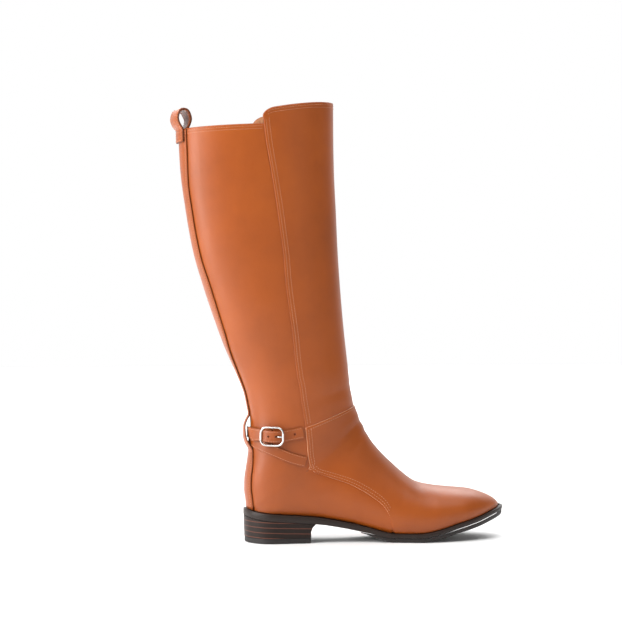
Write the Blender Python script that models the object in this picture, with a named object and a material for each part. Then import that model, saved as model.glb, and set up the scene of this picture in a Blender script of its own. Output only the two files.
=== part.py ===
"""Knee-high riding boot for the right foot, standing empty on its sole.

Metres. +X points to the toe, -Y to the boot's outer side and +Z up. The origin is on the floor under the heel.

The upper's surface is worked out by sections. Their place q runs from 0 at the tip of the toe to 1 over
the ball by upright sections, on to 2 by a fan that turns round a pivot in front of the instep, and on to 3
at the collar by level ones. On a section, v runs from 0 at the back, or at the sole, to -1 at the front on
the outer side and to 1 at the front on the inner side.
"""

import math
from collections import namedtuple
from functools import lru_cache

import bmesh
import bpy
import numpy as np

# Sole and heel.
SOLE_LENGTH = 0.272
BALL_WIDTH = 0.089
HEEL_WIDTH = 0.060
HEEL_BACK = -0.0355
HEEL_BREAST = 0.0297
HEEL_HEIGHT = 0.0217
TOP_LIFT_THICKNESS = 0.0052
PLATE_THICKNESS = 0.0072
TREAD_THICKNESS = 0.0039
TOE_SPRING = 0.0265
TREAD_START = 0.080
RIM = 0.0045
TOE_RIM = 0.0060
HEEL_ROUNDING = 0.030
TOE_ROUNDING = 0.050
EDGE_BEVEL = 0.0009
BREAST_FLARE = 0.0046
INSOLE_THICKNESS = 0.0026

# Upper and shaft.
INSTEP_HEIGHT = 0.138
SHAFT_HEIGHT = 0.4450
TOP_DEPTH = 0.1565
TOP_WIDTH = 0.083
PIVOT_REACH = 0.083
PIVOT_RISE = 0.029
TOE_BOX_ROUNDING = 0.045
WALL = 0.0016
PANEL_STEP = 0.0009
VAMP_STEP = 0.0015
STEP_WIDTH = 0.0004
REAR_COLLAR_DROP = 0.029
REAR_COLLAR_RISE = 0.004
PANEL_CORNER_DROP = 0.018
PANEL_SHOULDER_DROP = 0.0108
PANEL_SHOULDER_WIDTH = 0.15

# Backstay, pull loop, straps and buckle.
BACKSTAY_THICKNESS = 0.0012
BACKSTAY_WIDTH = 0.0335
KEEPER_LOW = 0.094
KEEPER_HIGH = 0.128
KEEPER_RISE = 0.0058
LOOP_THICKNESS = 0.0022
LOOP_WIDTH = 0.024
LOOP_REACH = 0.0083
LOOP_HEIGHT = 0.021
LOOP_LEG = 0.013
STRAP_WIDTH = 0.0116
STRAP_TIP_WIDTH = 0.0134
STRAP_THICKNESS = 0.0016
STRAP_TIP_REACH = 2.0
STRAP_TIP_CUT = 0.0060
ANKLE_STRAP_WIDTH = 0.0106
ANKLE_STRAP_THICKNESS = 0.0015
CHAPE_WIDTH = 0.0108
CHAPE_THICKNESS = 0.0012
CHAPE_FOLD = 0.0065
CHAPE_SLOT = 0.0024
CHAPE_SLOT_LENGTH = 0.0078
BUCKLE_WIDTH = 0.0250
BUCKLE_HEIGHT = 0.0200
BUCKLE_CORNER = 0.0060
BUCKLE_WIRE = 0.0020
BUCKLE_BAR = 0.0018
BUCKLE_V = -0.261
BUCKLE_TILT = 0.0009
BAR_LIFT = 0.0030
PRONG_WIRE = 0.0012
STRAP_HOLE = 0.0022
PRONG_HOLE = 0.0058

CLEARANCE = 0.0003
SEAT_CLEARANCE = 0.0006
SMOOTH_ANGLE = math.radians(32)

TOE_TIP = HEEL_BACK + SOLE_LENGTH
UPPER_BACK = HEEL_BACK + RIM
UPPER_TOE = TOE_TIP - TOE_RIM


def monotone(xs, ys, at):
    """Reads a monotone cubic curve through the points (xs, ys)."""
    steps = np.diff(xs)
    slopes = np.diff(ys) / steps
    tangents = np.zeros_like(ys)
    tangents[0] = slopes[0]
    tangents[-1] = slopes[-1]
    for i in range(1, len(xs) - 1):
        if slopes[i - 1] * slopes[i] > 0:
            before = 2 * steps[i] + steps[i - 1]
            after = steps[i] + 2 * steps[i - 1]
            tangents[i] = (before + after) / (before / slopes[i - 1] + after / slopes[i])
    at = np.clip(at, xs[0], xs[-1])
    i = np.clip(np.searchsorted(xs, at) - 1, 0, len(xs) - 2)
    u = (at - xs[i]) / steps[i]
    return (
        ys[i] * (1 + 2 * u) * (1 - u) ** 2
        + tangents[i] * steps[i] * u * (1 - u) ** 2
        + ys[i + 1] * u * u * (3 - 2 * u)
        - tangents[i + 1] * steps[i] * u * u * (1 - u)
    )


class Table:
    """Rows under named columns, each read between its rows along a smooth curve."""

    def __init__(self, columns, *rows):
        values = np.array(rows, float).T
        self.key = values[0]
        self.columns = dict(zip(columns, values))

    def read(self, column, at):
        return monotone(self.key, self.columns[column], at)


# Half widths of the sole as shares of half the heel's and half the ball's width, and how far its middle
# lies towards the inner side, as a share of the ball's width. "at" is a share of the sole's length.
SOLE_PLAN = Table(
    ("at", "of_heel", "of_ball", "inward"),
    (0.00, 0.98, 0.00, 0.000),
    (0.10, 1.00, 0.00, 0.000),
    (0.20, 0.98, 0.00, -0.004),
    (0.30, 0.60, 0.21, -0.022),
    (0.40, 0.30, 0.39, -0.050),
    (0.50, 0.10, 0.60, -0.066),
    (0.60, 0.00, 0.83, -0.050),
    (0.66, 0.00, 0.94, -0.028),
    (0.72, 0.00, 1.00, 0.000),
    (0.80, 0.00, 0.97, 0.028),
    (0.88, 0.00, 0.87, 0.050),
    (0.94, 0.00, 0.78, 0.060),
    (1.00, 0.00, 0.72, 0.064),
)

# The plate's underside as shares of the heel's height and of the toe spring, over the ball's level, with the
# plate's and the tread's thickness as shares of their own.
SOLE_SIDE = Table(
    ("at", "heel", "toe", "plate", "tread"),
    (0.00, 1.31, 0.00, 1.00, 0.00),
    (0.04, 1.15, 0.00, 1.00, 0.00),
    (0.09, 1.05, 0.00, 1.00, 0.00),
    (0.13, 1.00, 0.00, 1.00, 0.00),
    (0.24, 0.87, 0.00, 0.99, 0.00),
    (0.28, 0.81, 0.00, 0.95, 0.00),
    (0.34, 0.66, 0.00, 0.90, 0.00),
    (0.40, 0.48, 0.00, 0.87, 0.10),
    (0.46, 0.28, 0.00, 0.76, 0.50),
    (0.52, 0.06, 0.00, 0.68, 0.90),
    (0.545, 0.00, 0.00, 0.64, 1.00),
    (0.64, 0.00, 0.00, 0.63, 1.00),
    (0.72, 0.00, 0.14, 0.63, 1.05),
    (0.79, 0.00, 0.34, 0.64, 1.15),
    (0.88, 0.00, 0.57, 0.65, 1.25),
    (0.94, 0.00, 0.75, 0.62, 1.32),
    (1.00, 0.00, 0.92, 0.52, 1.35),
)

# The back of the heel, from the sole up to the level of the instep: how far it stands forward, as a share
# of the sole's length.
HEEL_SIDE = Table(
    ("up", "forward"),
    (0.00, 0.0000),
    (0.08, -0.0030),
    (0.18, -0.0080),
    (0.28, -0.0072),
    (0.37, -0.0022),
    (0.47, 0.0037),
    (0.56, 0.0078),
    (0.68, 0.0095),
    (0.81, 0.0096),
    (0.92, 0.0067),
    (1.00, 0.0008),
)

# The leg, from the level of the instep up to the collar: the same for its back, and its depth from back to
# front as a share of the depth at the top.
LEG_SIDE = Table(
    ("up", "forward", "depth"),
    (0.000, 0.0008, 0.687),
    (0.035, -0.0073, 0.688),
    (0.116, -0.0423, 0.726),
    (0.182, -0.0758, 0.770),
    (0.249, -0.1048, 0.806),
    (0.383, -0.1568, 0.873),
    (0.511, -0.1988, 0.929),
    (0.645, -0.2264, 0.965),
    (0.779, -0.2463, 0.987),
    (0.866, -0.2518, 0.993),
    (1.000, -0.2568, 1.000),
)

# The top line of the foot from the instep to the toe: its height over the sole as a share of the instep's.
INSTEP_SIDE = Table(
    ("at", "height"),
    (0.000, 1.000),
    (0.042, 0.872),
    (0.076, 0.797),
    (0.117, 0.722),
    (0.174, 0.654),
    (0.240, 0.585),
    (0.315, 0.497),
    (0.388, 0.425),
    (0.458, 0.377),
    (0.527, 0.338),
    (0.596, 0.302),
    (0.664, 0.266),
    (0.733, 0.236),
    (0.802, 0.219),
    (0.868, 0.197),
    (0.920, 0.178),
    (1.000, 0.150),
)

# The sections: half width as shares of half the ball's and half the top's width, how far along the widest
# place lies, the roundness of its front and back (2 is an ellipse), and how far the middle of the widest
# place and the ridge lie towards the inner side, as shares of the ball's width.
SECTIONS = Table(
    ("q", "of_ball", "of_top", "widest", "front", "back", "inward", "ridge"),
    (0.00, 0.00, 0.00, 0.20, 2.2, 2.2, 0.067, 0.067),
    (0.50, 0.45, 0.00, 0.22, 2.2, 2.2, 0.045, 0.055),
    (1.00, 0.93, 0.00, 0.25, 2.1, 2.2, 0.000, 0.030),
    (1.18, 0.86, 0.00, 0.30, 2.0, 2.2, -0.022, 0.014),
    (1.36, 0.50, 0.30, 0.34, 1.9, 2.2, -0.018, 0.006),
    (1.50, 0.22, 0.56, 0.40, 1.9, 2.2, -0.006, 0.002),
    (1.58, 0.16, 0.61, 0.42, 1.9, 2.2, 0.000, 0.000),
    (1.78, 0.12, 0.69, 0.47, 2.0, 2.2, 0.000, 0.000),
    (2.00, 0.06, 0.81, 0.49, 2.1, 2.2, 0.000, 0.000),
    (2.32, 0.02, 0.93, 0.50, 2.1, 2.2, 0.000, 0.000),
    (2.68, 0.00, 0.98, 0.50, 2.1, 2.2, 0.000, 0.000),
    (3.00, 0.00, 1.00, 0.50, 2.1, 2.2, 0.000, 0.000),
)

# The front panel's and the vamp's edge: its place along each section, as seen from the side.
PANEL_EDGE = Table(
    ("q", "along"),
    (1.180, 0.000),
    (1.210, 0.190),
    (1.240, 0.318),
    (1.275, 0.390),
    (1.325, 0.433),
    (1.385, 0.465),
    (1.455, 0.484),
    (1.530, 0.490),
    (1.590, 0.494),
    (1.615, 0.508),
    (1.685, 0.508),
    (1.740, 0.493),
    (1.805, 0.482),
    (1.880, 0.468),
    (1.990, 0.484),
    (2.170, 0.540),
    (2.350, 0.563),
    (2.470, 0.580),
    (2.610, 0.572),
    (2.740, 0.557),
    (2.900, 0.524),
    (3.000, 0.508),
)

# The centre lines of the ankle strap and the buckle strap: their q at each v from the back, on both sides.
STRAP_LINES = Table(
    ("v", "ankle", "buckle"),
    (0.000, 1.797, 1.817),
    (0.070, 1.789, 1.812),
    (0.165, 1.768, 1.803),
    (0.260, 1.740, 1.787),
    (0.350, 1.707, 1.774),
    (0.455, 1.665, 1.764),
    (0.540, 1.627, 1.757),
)

# The backstay from the sole to the collar: half its width, and how far its middle lies to the outer side, as
# shares of its width at the collar.
BACKSTAY_PLAN = Table(
    ("q", "half", "outward"),
    (1.58, 0.470, 0.000),
    (1.70, 0.455, 0.020),
    (1.76, 0.360, 0.000),
    (1.85, 0.225, -0.090),
    (1.92, 0.225, -0.080),
    (2.03, 0.270, -0.050),
    (2.18, 0.430, 0.020),
    (2.32, 0.460, 0.045),
    (2.45, 0.450, 0.015),
    (2.66, 0.450, 0.020),
    (2.80, 0.490, 0.060),
    (3.00, 0.500, 0.060),
)

VAMP_SEAM_Q = 1.776


def length_share(x):
    return (x - HEEL_BACK) / SOLE_LENGTH


def rounded(share, power=2.0):
    """How far a superellipse has opened at this share of the way in from its end."""
    return (1 - (1 - np.clip(share, 0, 1)) ** power) ** (1 / power)


def half_width(x, inset, toe_inset=None, heel_inset=None):
    """Half the width of the sole's outline, drawn in by the insets at its sides, toe and heel."""
    toe_inset = inset if toe_inset is None else toe_inset
    heel_inset = inset if heel_inset is None else heel_inset
    share = length_share(x)
    half = SOLE_PLAN.read("of_heel", share) * HEEL_WIDTH / 2
    half += SOLE_PLAN.read("of_ball", share) * BALL_WIDTH / 2
    heel = rounded((x - HEEL_BACK - heel_inset) / (HEEL_ROUNDING - heel_inset))
    toe = rounded((TOE_TIP - toe_inset - x) / (TOE_ROUNDING - toe_inset))
    return (half - inset) * heel * toe


def middle(x):
    """How far the sole's middle lies towards the inner side."""
    return SOLE_PLAN.read("inward", length_share(x)) * BALL_WIDTH


def plate_under(x):
    share = length_share(x)
    ball = TREAD_THICKNESS + CLEARANCE
    heel = SOLE_SIDE.read("heel", share) * (HEEL_HEIGHT - ball)
    return ball + heel + SOLE_SIDE.read("toe", share) * TOE_SPRING


def plate_top(x):
    return plate_under(x) + SOLE_SIDE.read("plate", length_share(x)) * PLATE_THICKNESS


def tread_under(x):
    return plate_under(x) - CLEARANCE - SOLE_SIDE.read("tread", length_share(x)) * TREAD_THICKNESS


def seat(x):
    """The height of the upper's lower edge."""
    return plate_top(x) + SEAT_CLEARANCE


HEEL_SEAT = float(seat(UPPER_BACK))
PIVOT_X = float(UPPER_BACK + LEG_SIDE.read("forward", 0) * SOLE_LENGTH + PIVOT_REACH)
PIVOT_X += float(LEG_SIDE.read("depth", 0) * TOP_DEPTH)
PIVOT_Z = INSTEP_HEIGHT + PIVOT_RISE


def back_line(z):
    """The x of the upper's back at this height."""
    if z < INSTEP_HEIGHT:
        forward = HEEL_SIDE.read("forward", (z - HEEL_SEAT) / (INSTEP_HEIGHT - HEEL_SEAT))
    else:
        forward = LEG_SIDE.read("forward", (z - INSTEP_HEIGHT) / (SHAFT_HEIGHT - INSTEP_HEIGHT))
    return float(UPPER_BACK + forward * SOLE_LENGTH)


def shin_line(z):
    """The x of the shaft's front at this height."""
    depth = LEG_SIDE.read("depth", (z - INSTEP_HEIGHT) / (SHAFT_HEIGHT - INSTEP_HEIGHT))
    return back_line(z) + float(depth) * TOP_DEPTH


def foot_line(x):
    """The height of the foot's top line at this x."""
    throat = shin_line(INSTEP_HEIGHT)
    full = INSTEP_HEIGHT - plate_top(throat)
    height = INSTEP_SIDE.read("height", (x - throat) / (UPPER_TOE - throat)) * full
    return float(seat(x) + height * rounded((UPPER_TOE - x) / TOE_BOX_ROUNDING, 1.8))


def front_point(s):
    """The front outline: s from 0 over the pivot's foot to 1 at the instep and 2 at the pivot's level."""
    if s < 1:
        x = PIVOT_X + s * (shin_line(INSTEP_HEIGHT) - PIVOT_X)
        return x, foot_line(x)
    z = INSTEP_HEIGHT + (s - 1) * PIVOT_RISE
    return shin_line(z), z


def back_point(s):
    """The lower outline: s from 0 below the pivot to 1 at the heel's back and 2 at the pivot's level."""
    if s < 1:
        x = PIVOT_X + s * (UPPER_BACK - PIVOT_X)
        return x, float(seat(x))
    z = HEEL_SEAT + (s - 1) * (PIVOT_Z - HEEL_SEAT)
    return back_line(z), z


def fan_angle(point):
    """The angle of a point round the pivot, from 0 straight below it to a right angle straight behind."""
    return math.atan2(PIVOT_X - point[0], PIVOT_Z - point[1])


def on_fan(outline, angle):
    """Where the fan's line at this angle meets an outline, by halving."""
    low, high = 0.0, 2.0
    for _ in range(40):
        s = (low + high) / 2
        if fan_angle(outline(s)) < angle:
            low = s
        else:
            high = s
    return outline(low)


HEEL_Q = 1 + fan_angle((UPPER_BACK, HEEL_SEAT)) / (math.pi / 2)

Section = namedtuple("Section", "back front closed outer inner")
HALF_STEPS = 28


def half_section(length, reach, base, widest, front, back):
    """One side of a section: how far along and how far out, and the share of its own length at each place."""
    ratio = min(base / reach, 0.985)
    full = widest / (1 - ratio**back) ** (1 / back)
    turn = np.linspace(math.asin(min(1.0, (widest / full) ** (back / 2))), 0, HALF_STEPS)
    along = widest - full * np.sin(turn) ** (2 / back)
    out = reach * np.cos(turn) ** (2 / back)
    turn = np.linspace(0, math.pi / 2, HALF_STEPS)[1:]
    along = np.append(along, widest + (1 - widest) * np.sin(turn) ** (2 / front))
    out = np.append(out, reach * np.maximum(np.cos(turn), 0) ** (2 / front))
    share = np.append(0, np.cumsum(np.hypot(np.diff(along) * length, np.diff(out))))
    return along, out, share / share[-1], share[-1]


@lru_cache(maxsize=None)
def section(q):
    if q <= 1:
        x = UPPER_TOE + q * (PIVOT_X - UPPER_TOE)
        back, front = (x, float(seat(x))), (x, foot_line(x))
    elif q <= 2:
        angle = (q - 1) * math.pi / 2
        back, front = on_fan(back_point, angle), on_fan(front_point, angle)
    else:
        z = PIVOT_Z + (q - 2) * (SHAFT_HEIGHT - PIVOT_Z)
        back, front = (back_line(z), z), (shin_line(z), z)
    closed = q >= HEEL_Q
    base = 0.0 if closed else float(half_width(back[0], RIM, TOE_RIM, UPPER_BACK - HEEL_BACK))
    base_middle = middle(back[0])
    read = {name: float(SECTIONS.read(name, q)) for name in SECTIONS.columns}
    widest = read["of_ball"] * BALL_WIDTH / 2 + read["of_top"] * TOP_WIDTH / 2
    ridge = read["ridge"] * BALL_WIDTH
    length = math.dist(back, front)
    sides = []
    for side in (-1, 1):
        base_out = 0.0 if closed else max(base + side * (base_middle - ridge), 0.0)
        reach = max(widest + side * (read["inward"] * BALL_WIDTH - ridge), 1.03 * base_out)
        shape = (read["widest"], read["front"], read["back"])
        along, out, share, total = half_section(length, reach, base_out, *shape)
        sides.append((along, ridge + side * out, share, total))
    return Section(back, front, closed, *sides)


def side_of(cut, v):
    """The section's own half for this v, where -0.0 is on the outer side."""
    return cut.outer if math.copysign(1, v) < 0 else cut.inner


def base_point(q, v):
    """A point of the upper's surface without its steps."""
    if q == 0:
        return np.array((UPPER_TOE, middle(UPPER_TOE), seat(UPPER_TOE)))
    if abs(v) > 1:
        v = math.copysign(2 - abs(v), -v)
    cut = section(q)
    along, y, share, _ = side_of(cut, v)
    t = np.interp(abs(v), share, along)
    x = cut.back[0] + t * (cut.front[0] - cut.back[0])
    z = cut.back[1] + t * (cut.front[1] - cut.back[1])
    return np.array((x, np.interp(abs(v), share, y), z))


NUDGE = 0.004
TOE_NORMAL = np.array((0.97, 0.0, 0.24))


def outward(q, v):
    """The unit vector out of the upper's surface."""
    if q < 1e-3:
        return TOE_NORMAL
    low, high = v - NUDGE, v + NUDGE
    if q < HEEL_Q and abs(v) < NUDGE:
        low, high = (0.0, 2 * NUDGE) if math.copysign(1, v) > 0 else (-2 * NUDGE, -0.0)
    step = min(NUDGE, q / 2)
    before, after = max(q - step, 0), min(q + step, 3)
    across = base_point(q, high) - base_point(q, low)
    along = base_point(after, v) - base_point(before, v)
    normal = np.cross(along, across)
    size = np.linalg.norm(normal)
    if size < 1e-12:
        return TOE_NORMAL
    return normal / size


def surface(q, v, lift=0.0):
    """A point this far outside the upper's surface."""
    return base_point(q, v) + lift * outward(q, v)


def place_along(q, v):
    """The point's place along its section, as seen from the side."""
    along, _, share, _ = side_of(section(q), v)
    return float(np.interp(abs(v), share, along))


def v_along(q, along, side):
    """The v of a place along the section, on the outer side (-1) or the inner side (1)."""
    places, _, share, _ = side_of(section(q), side)
    return side * float(np.interp(along, places, share))


def v_of_length(q, length, side):
    """The v at this distance from the back, measured round the section."""
    return side * length / side_of(section(q), side)[3]


def locate(x, z, side):
    """The q and v of the point that the side view shows at (x, z)."""
    if z > PIVOT_Z:
        q = 2 + (z - PIVOT_Z) / (SHAFT_HEIGHT - PIVOT_Z)
    elif x < PIVOT_X:
        q = 1 + fan_angle((x, z)) / (math.pi / 2)
    else:
        q = (UPPER_TOE - x) / (UPPER_TOE - PIVOT_X)
    back, front = section(q).back, section(q).front
    return q, v_along(q, math.dist(back, (x, z)) / math.dist(back, front), side)


# Mesh helpers.


def material(name, colour, roughness, metallic=0.0):
    made = bpy.data.materials.new(name)
    made.use_nodes = True
    shader = made.node_tree.nodes["Principled BSDF"]
    shader.inputs["Base Color"].default_value = (*colour, 1)
    shader.inputs["Roughness"].default_value = roughness
    shader.inputs["Metallic"].default_value = metallic
    return made


def add_rows(bm, rows, wrap=False):
    """Faces between rows of points."""
    made = [[bm.verts.new(point) for point in row] for row in rows]
    count = len(made[0])
    for low, high in zip(made, made[1:]):
        for i in range(count if wrap else count - 1):
            j = (i + 1) % count
            bm.faces.new((low[i], low[j], high[j], high[i]))
    return made


def add_strip(bm, first, second):
    """Faces between two rows of vertices."""
    for i in range(len(first) - 1):
        corners = (first[i], first[i + 1], second[i + 1], second[i])
        if len(set(corners)) == 4:
            bm.faces.new(corners)


def face_outwards(bm):
    bmesh.ops.recalc_face_normals(bm, faces=bm.faces)
    if bm.calc_volume(signed=True) < 0:
        bmesh.ops.reverse_faces(bm, faces=bm.faces)


def make_object(name, bm, finish):
    """Closes the seams and poles, and makes the piece's object."""
    bmesh.ops.remove_doubles(bm, verts=bm.verts, dist=2e-6)
    bmesh.ops.dissolve_degenerate(bm, edges=bm.edges, dist=1e-6)
    face_outwards(bm)
    mesh = bpy.data.meshes.new(name)
    bm.to_mesh(mesh)
    bm.free()
    mesh.materials.append(finish)
    mesh.shade_smooth()
    mesh.set_sharp_from_angle(angle=SMOOTH_ANGLE)
    made = bpy.data.objects.new(name, mesh)
    bpy.context.scene.collection.objects.link(made)
    return made


SOLE_STATIONS = HEEL_BACK + SOLE_LENGTH * (1 - np.cos(np.linspace(0, math.pi, 45))) / 2


def sole_shares(start, end):
    """The sole's own stations between two places, as shares of the way, so that its layers meet evenly."""
    margin = 0.003
    between = [x for x in SOLE_STATIONS if start + margin < x < end - margin]
    if abs(start - HEEL_BACK) < margin:
        between = [x for x in SOLE_STATIONS if HEEL_BACK < x < end - margin]
    if abs(end - TOE_TIP) < margin:
        between += [x for x in SOLE_STATIONS if end - margin <= x < TOE_TIP]
    return (np.array([start, *between, end]) - start) / (end - start)


def outline_ring(start, end, inset, height, shares):
    """The outer and inner points of the sole's outline between two places, at the height of each."""
    xs = start + (end - start) * shares
    heel_inset = start - HEEL_BACK if start - HEEL_BACK < HEEL_ROUNDING / 2 else inset
    toe_inset = TOE_TIP - end if TOE_TIP - end < TOE_ROUNDING / 2 else inset
    half = half_width(xs, inset, toe_inset, heel_inset)
    centre = middle(xs)
    outer = [(x, c - h, height(x)) for x, c, h in zip(xs, centre, half)]
    inner = [(x, c + h, height(x)) for x, c, h in zip(xs, centre, half)]
    return outer, inner


def make_slab(name, finish, layers, shares):
    """A layered piece of the sole. Each layer gives (start, end, inset, height at x), from the bottom up."""
    bm = bmesh.new()
    rings = []
    for start, end, inset, height in layers:
        outer, inner = outline_ring(start, end, inset, height, shares)
        rings.append(outer + inner[::-1])
    made = add_rows(bm, rings, wrap=True)
    count = len(shares)
    for ring in (made[0], made[-1]):
        add_strip(bm, ring[:count], ring[count:][::-1])
    return make_object(name, bm, finish)


def make_midsole(finish):
    def at_height(rise):
        return lambda x: plate_under(x) + rise

    def below_top(drop):
        return lambda x: plate_top(x) - drop

    layers = [
        (HEEL_BACK + EDGE_BEVEL, TOE_TIP - EDGE_BEVEL, EDGE_BEVEL, at_height(0)),
        (HEEL_BACK, TOE_TIP, 0, at_height(EDGE_BEVEL)),
        (HEEL_BACK, TOE_TIP, 0, below_top(EDGE_BEVEL)),
        (HEEL_BACK + EDGE_BEVEL, TOE_TIP - EDGE_BEVEL, EDGE_BEVEL, below_top(0)),
    ]
    return make_slab("midsole", finish, layers, sole_shares(HEEL_BACK, TOE_TIP))


TREAD_INSET = 0.0006
TREAD_ROUNDING = 0.0018


def make_outsole(finish):
    def from_under(share):
        return lambda x: (1 - share) * tread_under(x) + share * (plate_under(x) - CLEARANCE)

    side = TREAD_INSET
    under = TREAD_INSET + TREAD_ROUNDING
    layers = [
        (TREAD_START, TOE_TIP - under, under, from_under(0)),
        (TREAD_START, TOE_TIP - side, side, from_under(0.35)),
        (TREAD_START, TOE_TIP - side, side, from_under(1)),
    ]
    return make_slab("outsole", finish, layers, sole_shares(TREAD_START, TOE_TIP))


HEEL_INSET_TOP = 0.0003
HEEL_INSET_FOOT = 0.0010


def make_heel(finish):
    foot = TOP_LIFT_THICKNESS + CLEARANCE
    layers = []
    for up, flare in ((0, 0), (0.45, 0), (0.75, 0.3), (1, 1)):
        inset = HEEL_INSET_FOOT + up * (HEEL_INSET_TOP - HEEL_INSET_FOOT)
        height = lambda x, up=up: (1 - up) * foot + up * (plate_under(x) - CLEARANCE)
        layers.append((HEEL_BACK + inset, HEEL_BREAST + flare * BREAST_FLARE, inset, height))
    return make_slab("heel", finish, layers, sole_shares(HEEL_BACK, HEEL_BREAST))


def make_top_lift(finish):
    side = HEEL_INSET_FOOT + CLEARANCE
    layers = [
        (HEEL_BACK + side + EDGE_BEVEL, HEEL_BREAST - EDGE_BEVEL, side + EDGE_BEVEL, lambda x: 0 * x),
        (HEEL_BACK + side, HEEL_BREAST, side, lambda x: 0 * x + EDGE_BEVEL),
        (HEEL_BACK + side, HEEL_BREAST, side, lambda x: 0 * x + TOP_LIFT_THICKNESS),
    ]
    return make_slab("top_lift", finish, layers, sole_shares(HEEL_BACK, HEEL_BREAST))


INSOLE_MARGIN = 0.0014


def make_insole(finish):
    def above_plate(rise):
        return lambda x: plate_top(x) + 1.6 * CLEARANCE + rise

    layers = []
    for rise, draw_in in ((0, 0), (INSOLE_THICKNESS, INSOLE_MARGIN)):
        edge = WALL + INSOLE_MARGIN + draw_in
        layers.append((UPPER_BACK + edge, UPPER_TOE - edge - INSOLE_MARGIN, RIM + edge, above_plate(rise)))
    return make_slab("insole", finish, layers, sole_shares(HEEL_BACK, TOE_TIP))


TOE_STATIONS = [q * q for q in np.linspace(0, 1, 11)]
FAN_STATIONS = 15
HEEL_STATIONS = (0.07, 0.03, 0.008)
LEG_STATIONS = 9
HEEL_STATION_GAP = 0.12
ANKLE_STATIONS = 7
REAR_COLUMNS = 9
FRONT_COLUMNS = 8
LEAST_EDGE_V = 0.03
SEAM_Q_STEP = STEP_WIDTH / 0.15


def upper_stations():
    """The q of each section of the upper's mesh, closer together where it closes round the heel."""
    fan = list(np.linspace(1, HEEL_Q - HEEL_STATION_GAP, 8)[1:])
    fan += [HEEL_Q - before for before in HEEL_STATIONS]
    fan += list(np.linspace(HEEL_Q, VAMP_SEAM_Q, 6))
    fan[-1] = VAMP_SEAM_Q
    fan += [VAMP_SEAM_Q + SEAM_Q_STEP]
    fan += list(np.linspace(VAMP_SEAM_Q, 2, ANKLE_STATIONS)[1:])
    return TOE_STATIONS + fan + [2 + up for up in np.linspace(0, 1, LEG_STATIONS)[1:]]


def edge_v(q, side):
    """The v of the panel's edge."""
    if q < PANEL_EDGE.key[0]:
        return side * LEAST_EDGE_V
    return side * max(abs(v_along(q, float(PANEL_EDGE.read("along", q)), side)), LEAST_EDGE_V)


def upper_step(q, in_front):
    """How far the wall stands out over the rear panel."""
    if q <= VAMP_SEAM_Q:
        return VAMP_STEP if in_front or q < PANEL_EDGE.key[0] else 0.0
    return PANEL_STEP if in_front else 0.0


def collar_height(x, in_front):
    """The collar's height at this x, on the rear panel or on the front one."""
    back, front = back_line(SHAFT_HEIGHT), shin_line(SHAFT_HEIGHT)
    share = (x - back) / (front - back)
    if not in_front:
        return SHAFT_HEIGHT - REAR_COLLAR_DROP + 2 * share * REAR_COLLAR_RISE
    edge = float(PANEL_EDGE.read("along", 3))
    past = (share - edge) / (1 - edge)
    shoulder = rounded(past / PANEL_SHOULDER_WIDTH)
    low = SHAFT_HEIGHT - PANEL_CORNER_DROP
    high = SHAFT_HEIGHT - PANEL_SHOULDER_DROP * (1 - past) ** 1.5 if past < 1 else SHAFT_HEIGHT
    return low + float(shoulder) * (high - low)


def upper_columns(q):
    """The v and the panel (in front or not) of each column of the mesh, once round the section. They stand
    closer together at the back, at the panel's edge and at the front."""
    behind = np.linspace(0, 1, REAR_COLUMNS + 1) ** 1.3
    ahead = np.linspace(0, 1, FRONT_COLUMNS + 1)
    ahead = ahead - 0.09 * np.sin(2 * math.pi * ahead)
    columns = []
    for side in (-1, 1):
        edge = edge_v(q, side)
        near = edge + v_of_length(q, STEP_WIDTH, side)
        half = [(edge * share, False) for share in behind]
        half += [(near + (side - near) * share, True) for share in ahead]
        columns.append([(math.copysign(v, side), in_front) for v, in_front in half])
    return columns[0] + columns[1][:-1][::-1]


def collar_q(q, v, in_front):
    """Spreads the leg's sections up to the collar's own height."""
    if q <= 2:
        return q
    top = 3.0
    for _ in range(3):
        x = base_point(min(top, 3.0), v)[0]
        top = 2 + (collar_height(x, in_front) - PIVOT_Z) / (SHAFT_HEIGHT - PIVOT_Z)
    return 2 + (q - 2) * (min(top, 3.0) - 2)


def make_upper(finish):
    stations = upper_stations()
    outer, inner = [], []
    for q in stations:
        outside, inside = [], []
        for v, in_front in upper_columns(max(q, TOE_STATIONS[1])):
            own_q = collar_q(q, v, in_front)
            out = surface(own_q, v, upper_step(q, in_front))
            into = surface(own_q, v, -WALL)
            for point in (out, into):
                lowest = seat(point[0])
                point[2] = lowest if q < HEEL_Q and v == 0 or q == 0 else max(point[2], lowest)
            outside.append(out)
            inside.append(into)
        outer.append(outside)
        inner.append(inside)
    bm = bmesh.new()
    outside = add_rows(bm, outer)
    inside = add_rows(bm, inner)
    open_rows = sum(q < HEEL_Q for q in stations) + 1
    for end in (0, -1):
        add_strip(bm, [row[end] for row in outside[:open_rows]], [row[end] for row in inside[:open_rows]])
    add_strip(bm, outside[-1], inside[-1])
    return make_object("upper", bm, finish)


# Bands, which lie on the upper or stand off it.


def smooth_line(points, count):
    """Points along a smooth curve through the given ones."""
    points = np.array(points, float)
    ends = np.vstack((2 * points[0] - points[1], points, 2 * points[-1] - points[-2]))
    places = np.linspace(0, len(points) - 1, count)
    at = np.minimum(places.astype(int), len(points) - 2)
    u = (places - at)[:, None]
    before, start, end, after = (ends[at + i] for i in range(4))
    return 0.5 * (
        2 * start
        + (end - before) * u
        + (2 * before - 5 * start + 4 * end - after) * u**2
        + (3 * start - before - 3 * end + after) * u**3
    )


def unit(vector):
    return vector / np.linalg.norm(vector)


def offset_line(line, distance):
    """A side line of (along, out) points moved out by a distance."""
    forward = np.gradient(np.array(line), axis=0)
    forward /= np.linalg.norm(forward, axis=1)[:, None]
    return line + distance * np.stack((-forward[:, 1], forward[:, 0]), axis=1)


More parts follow.
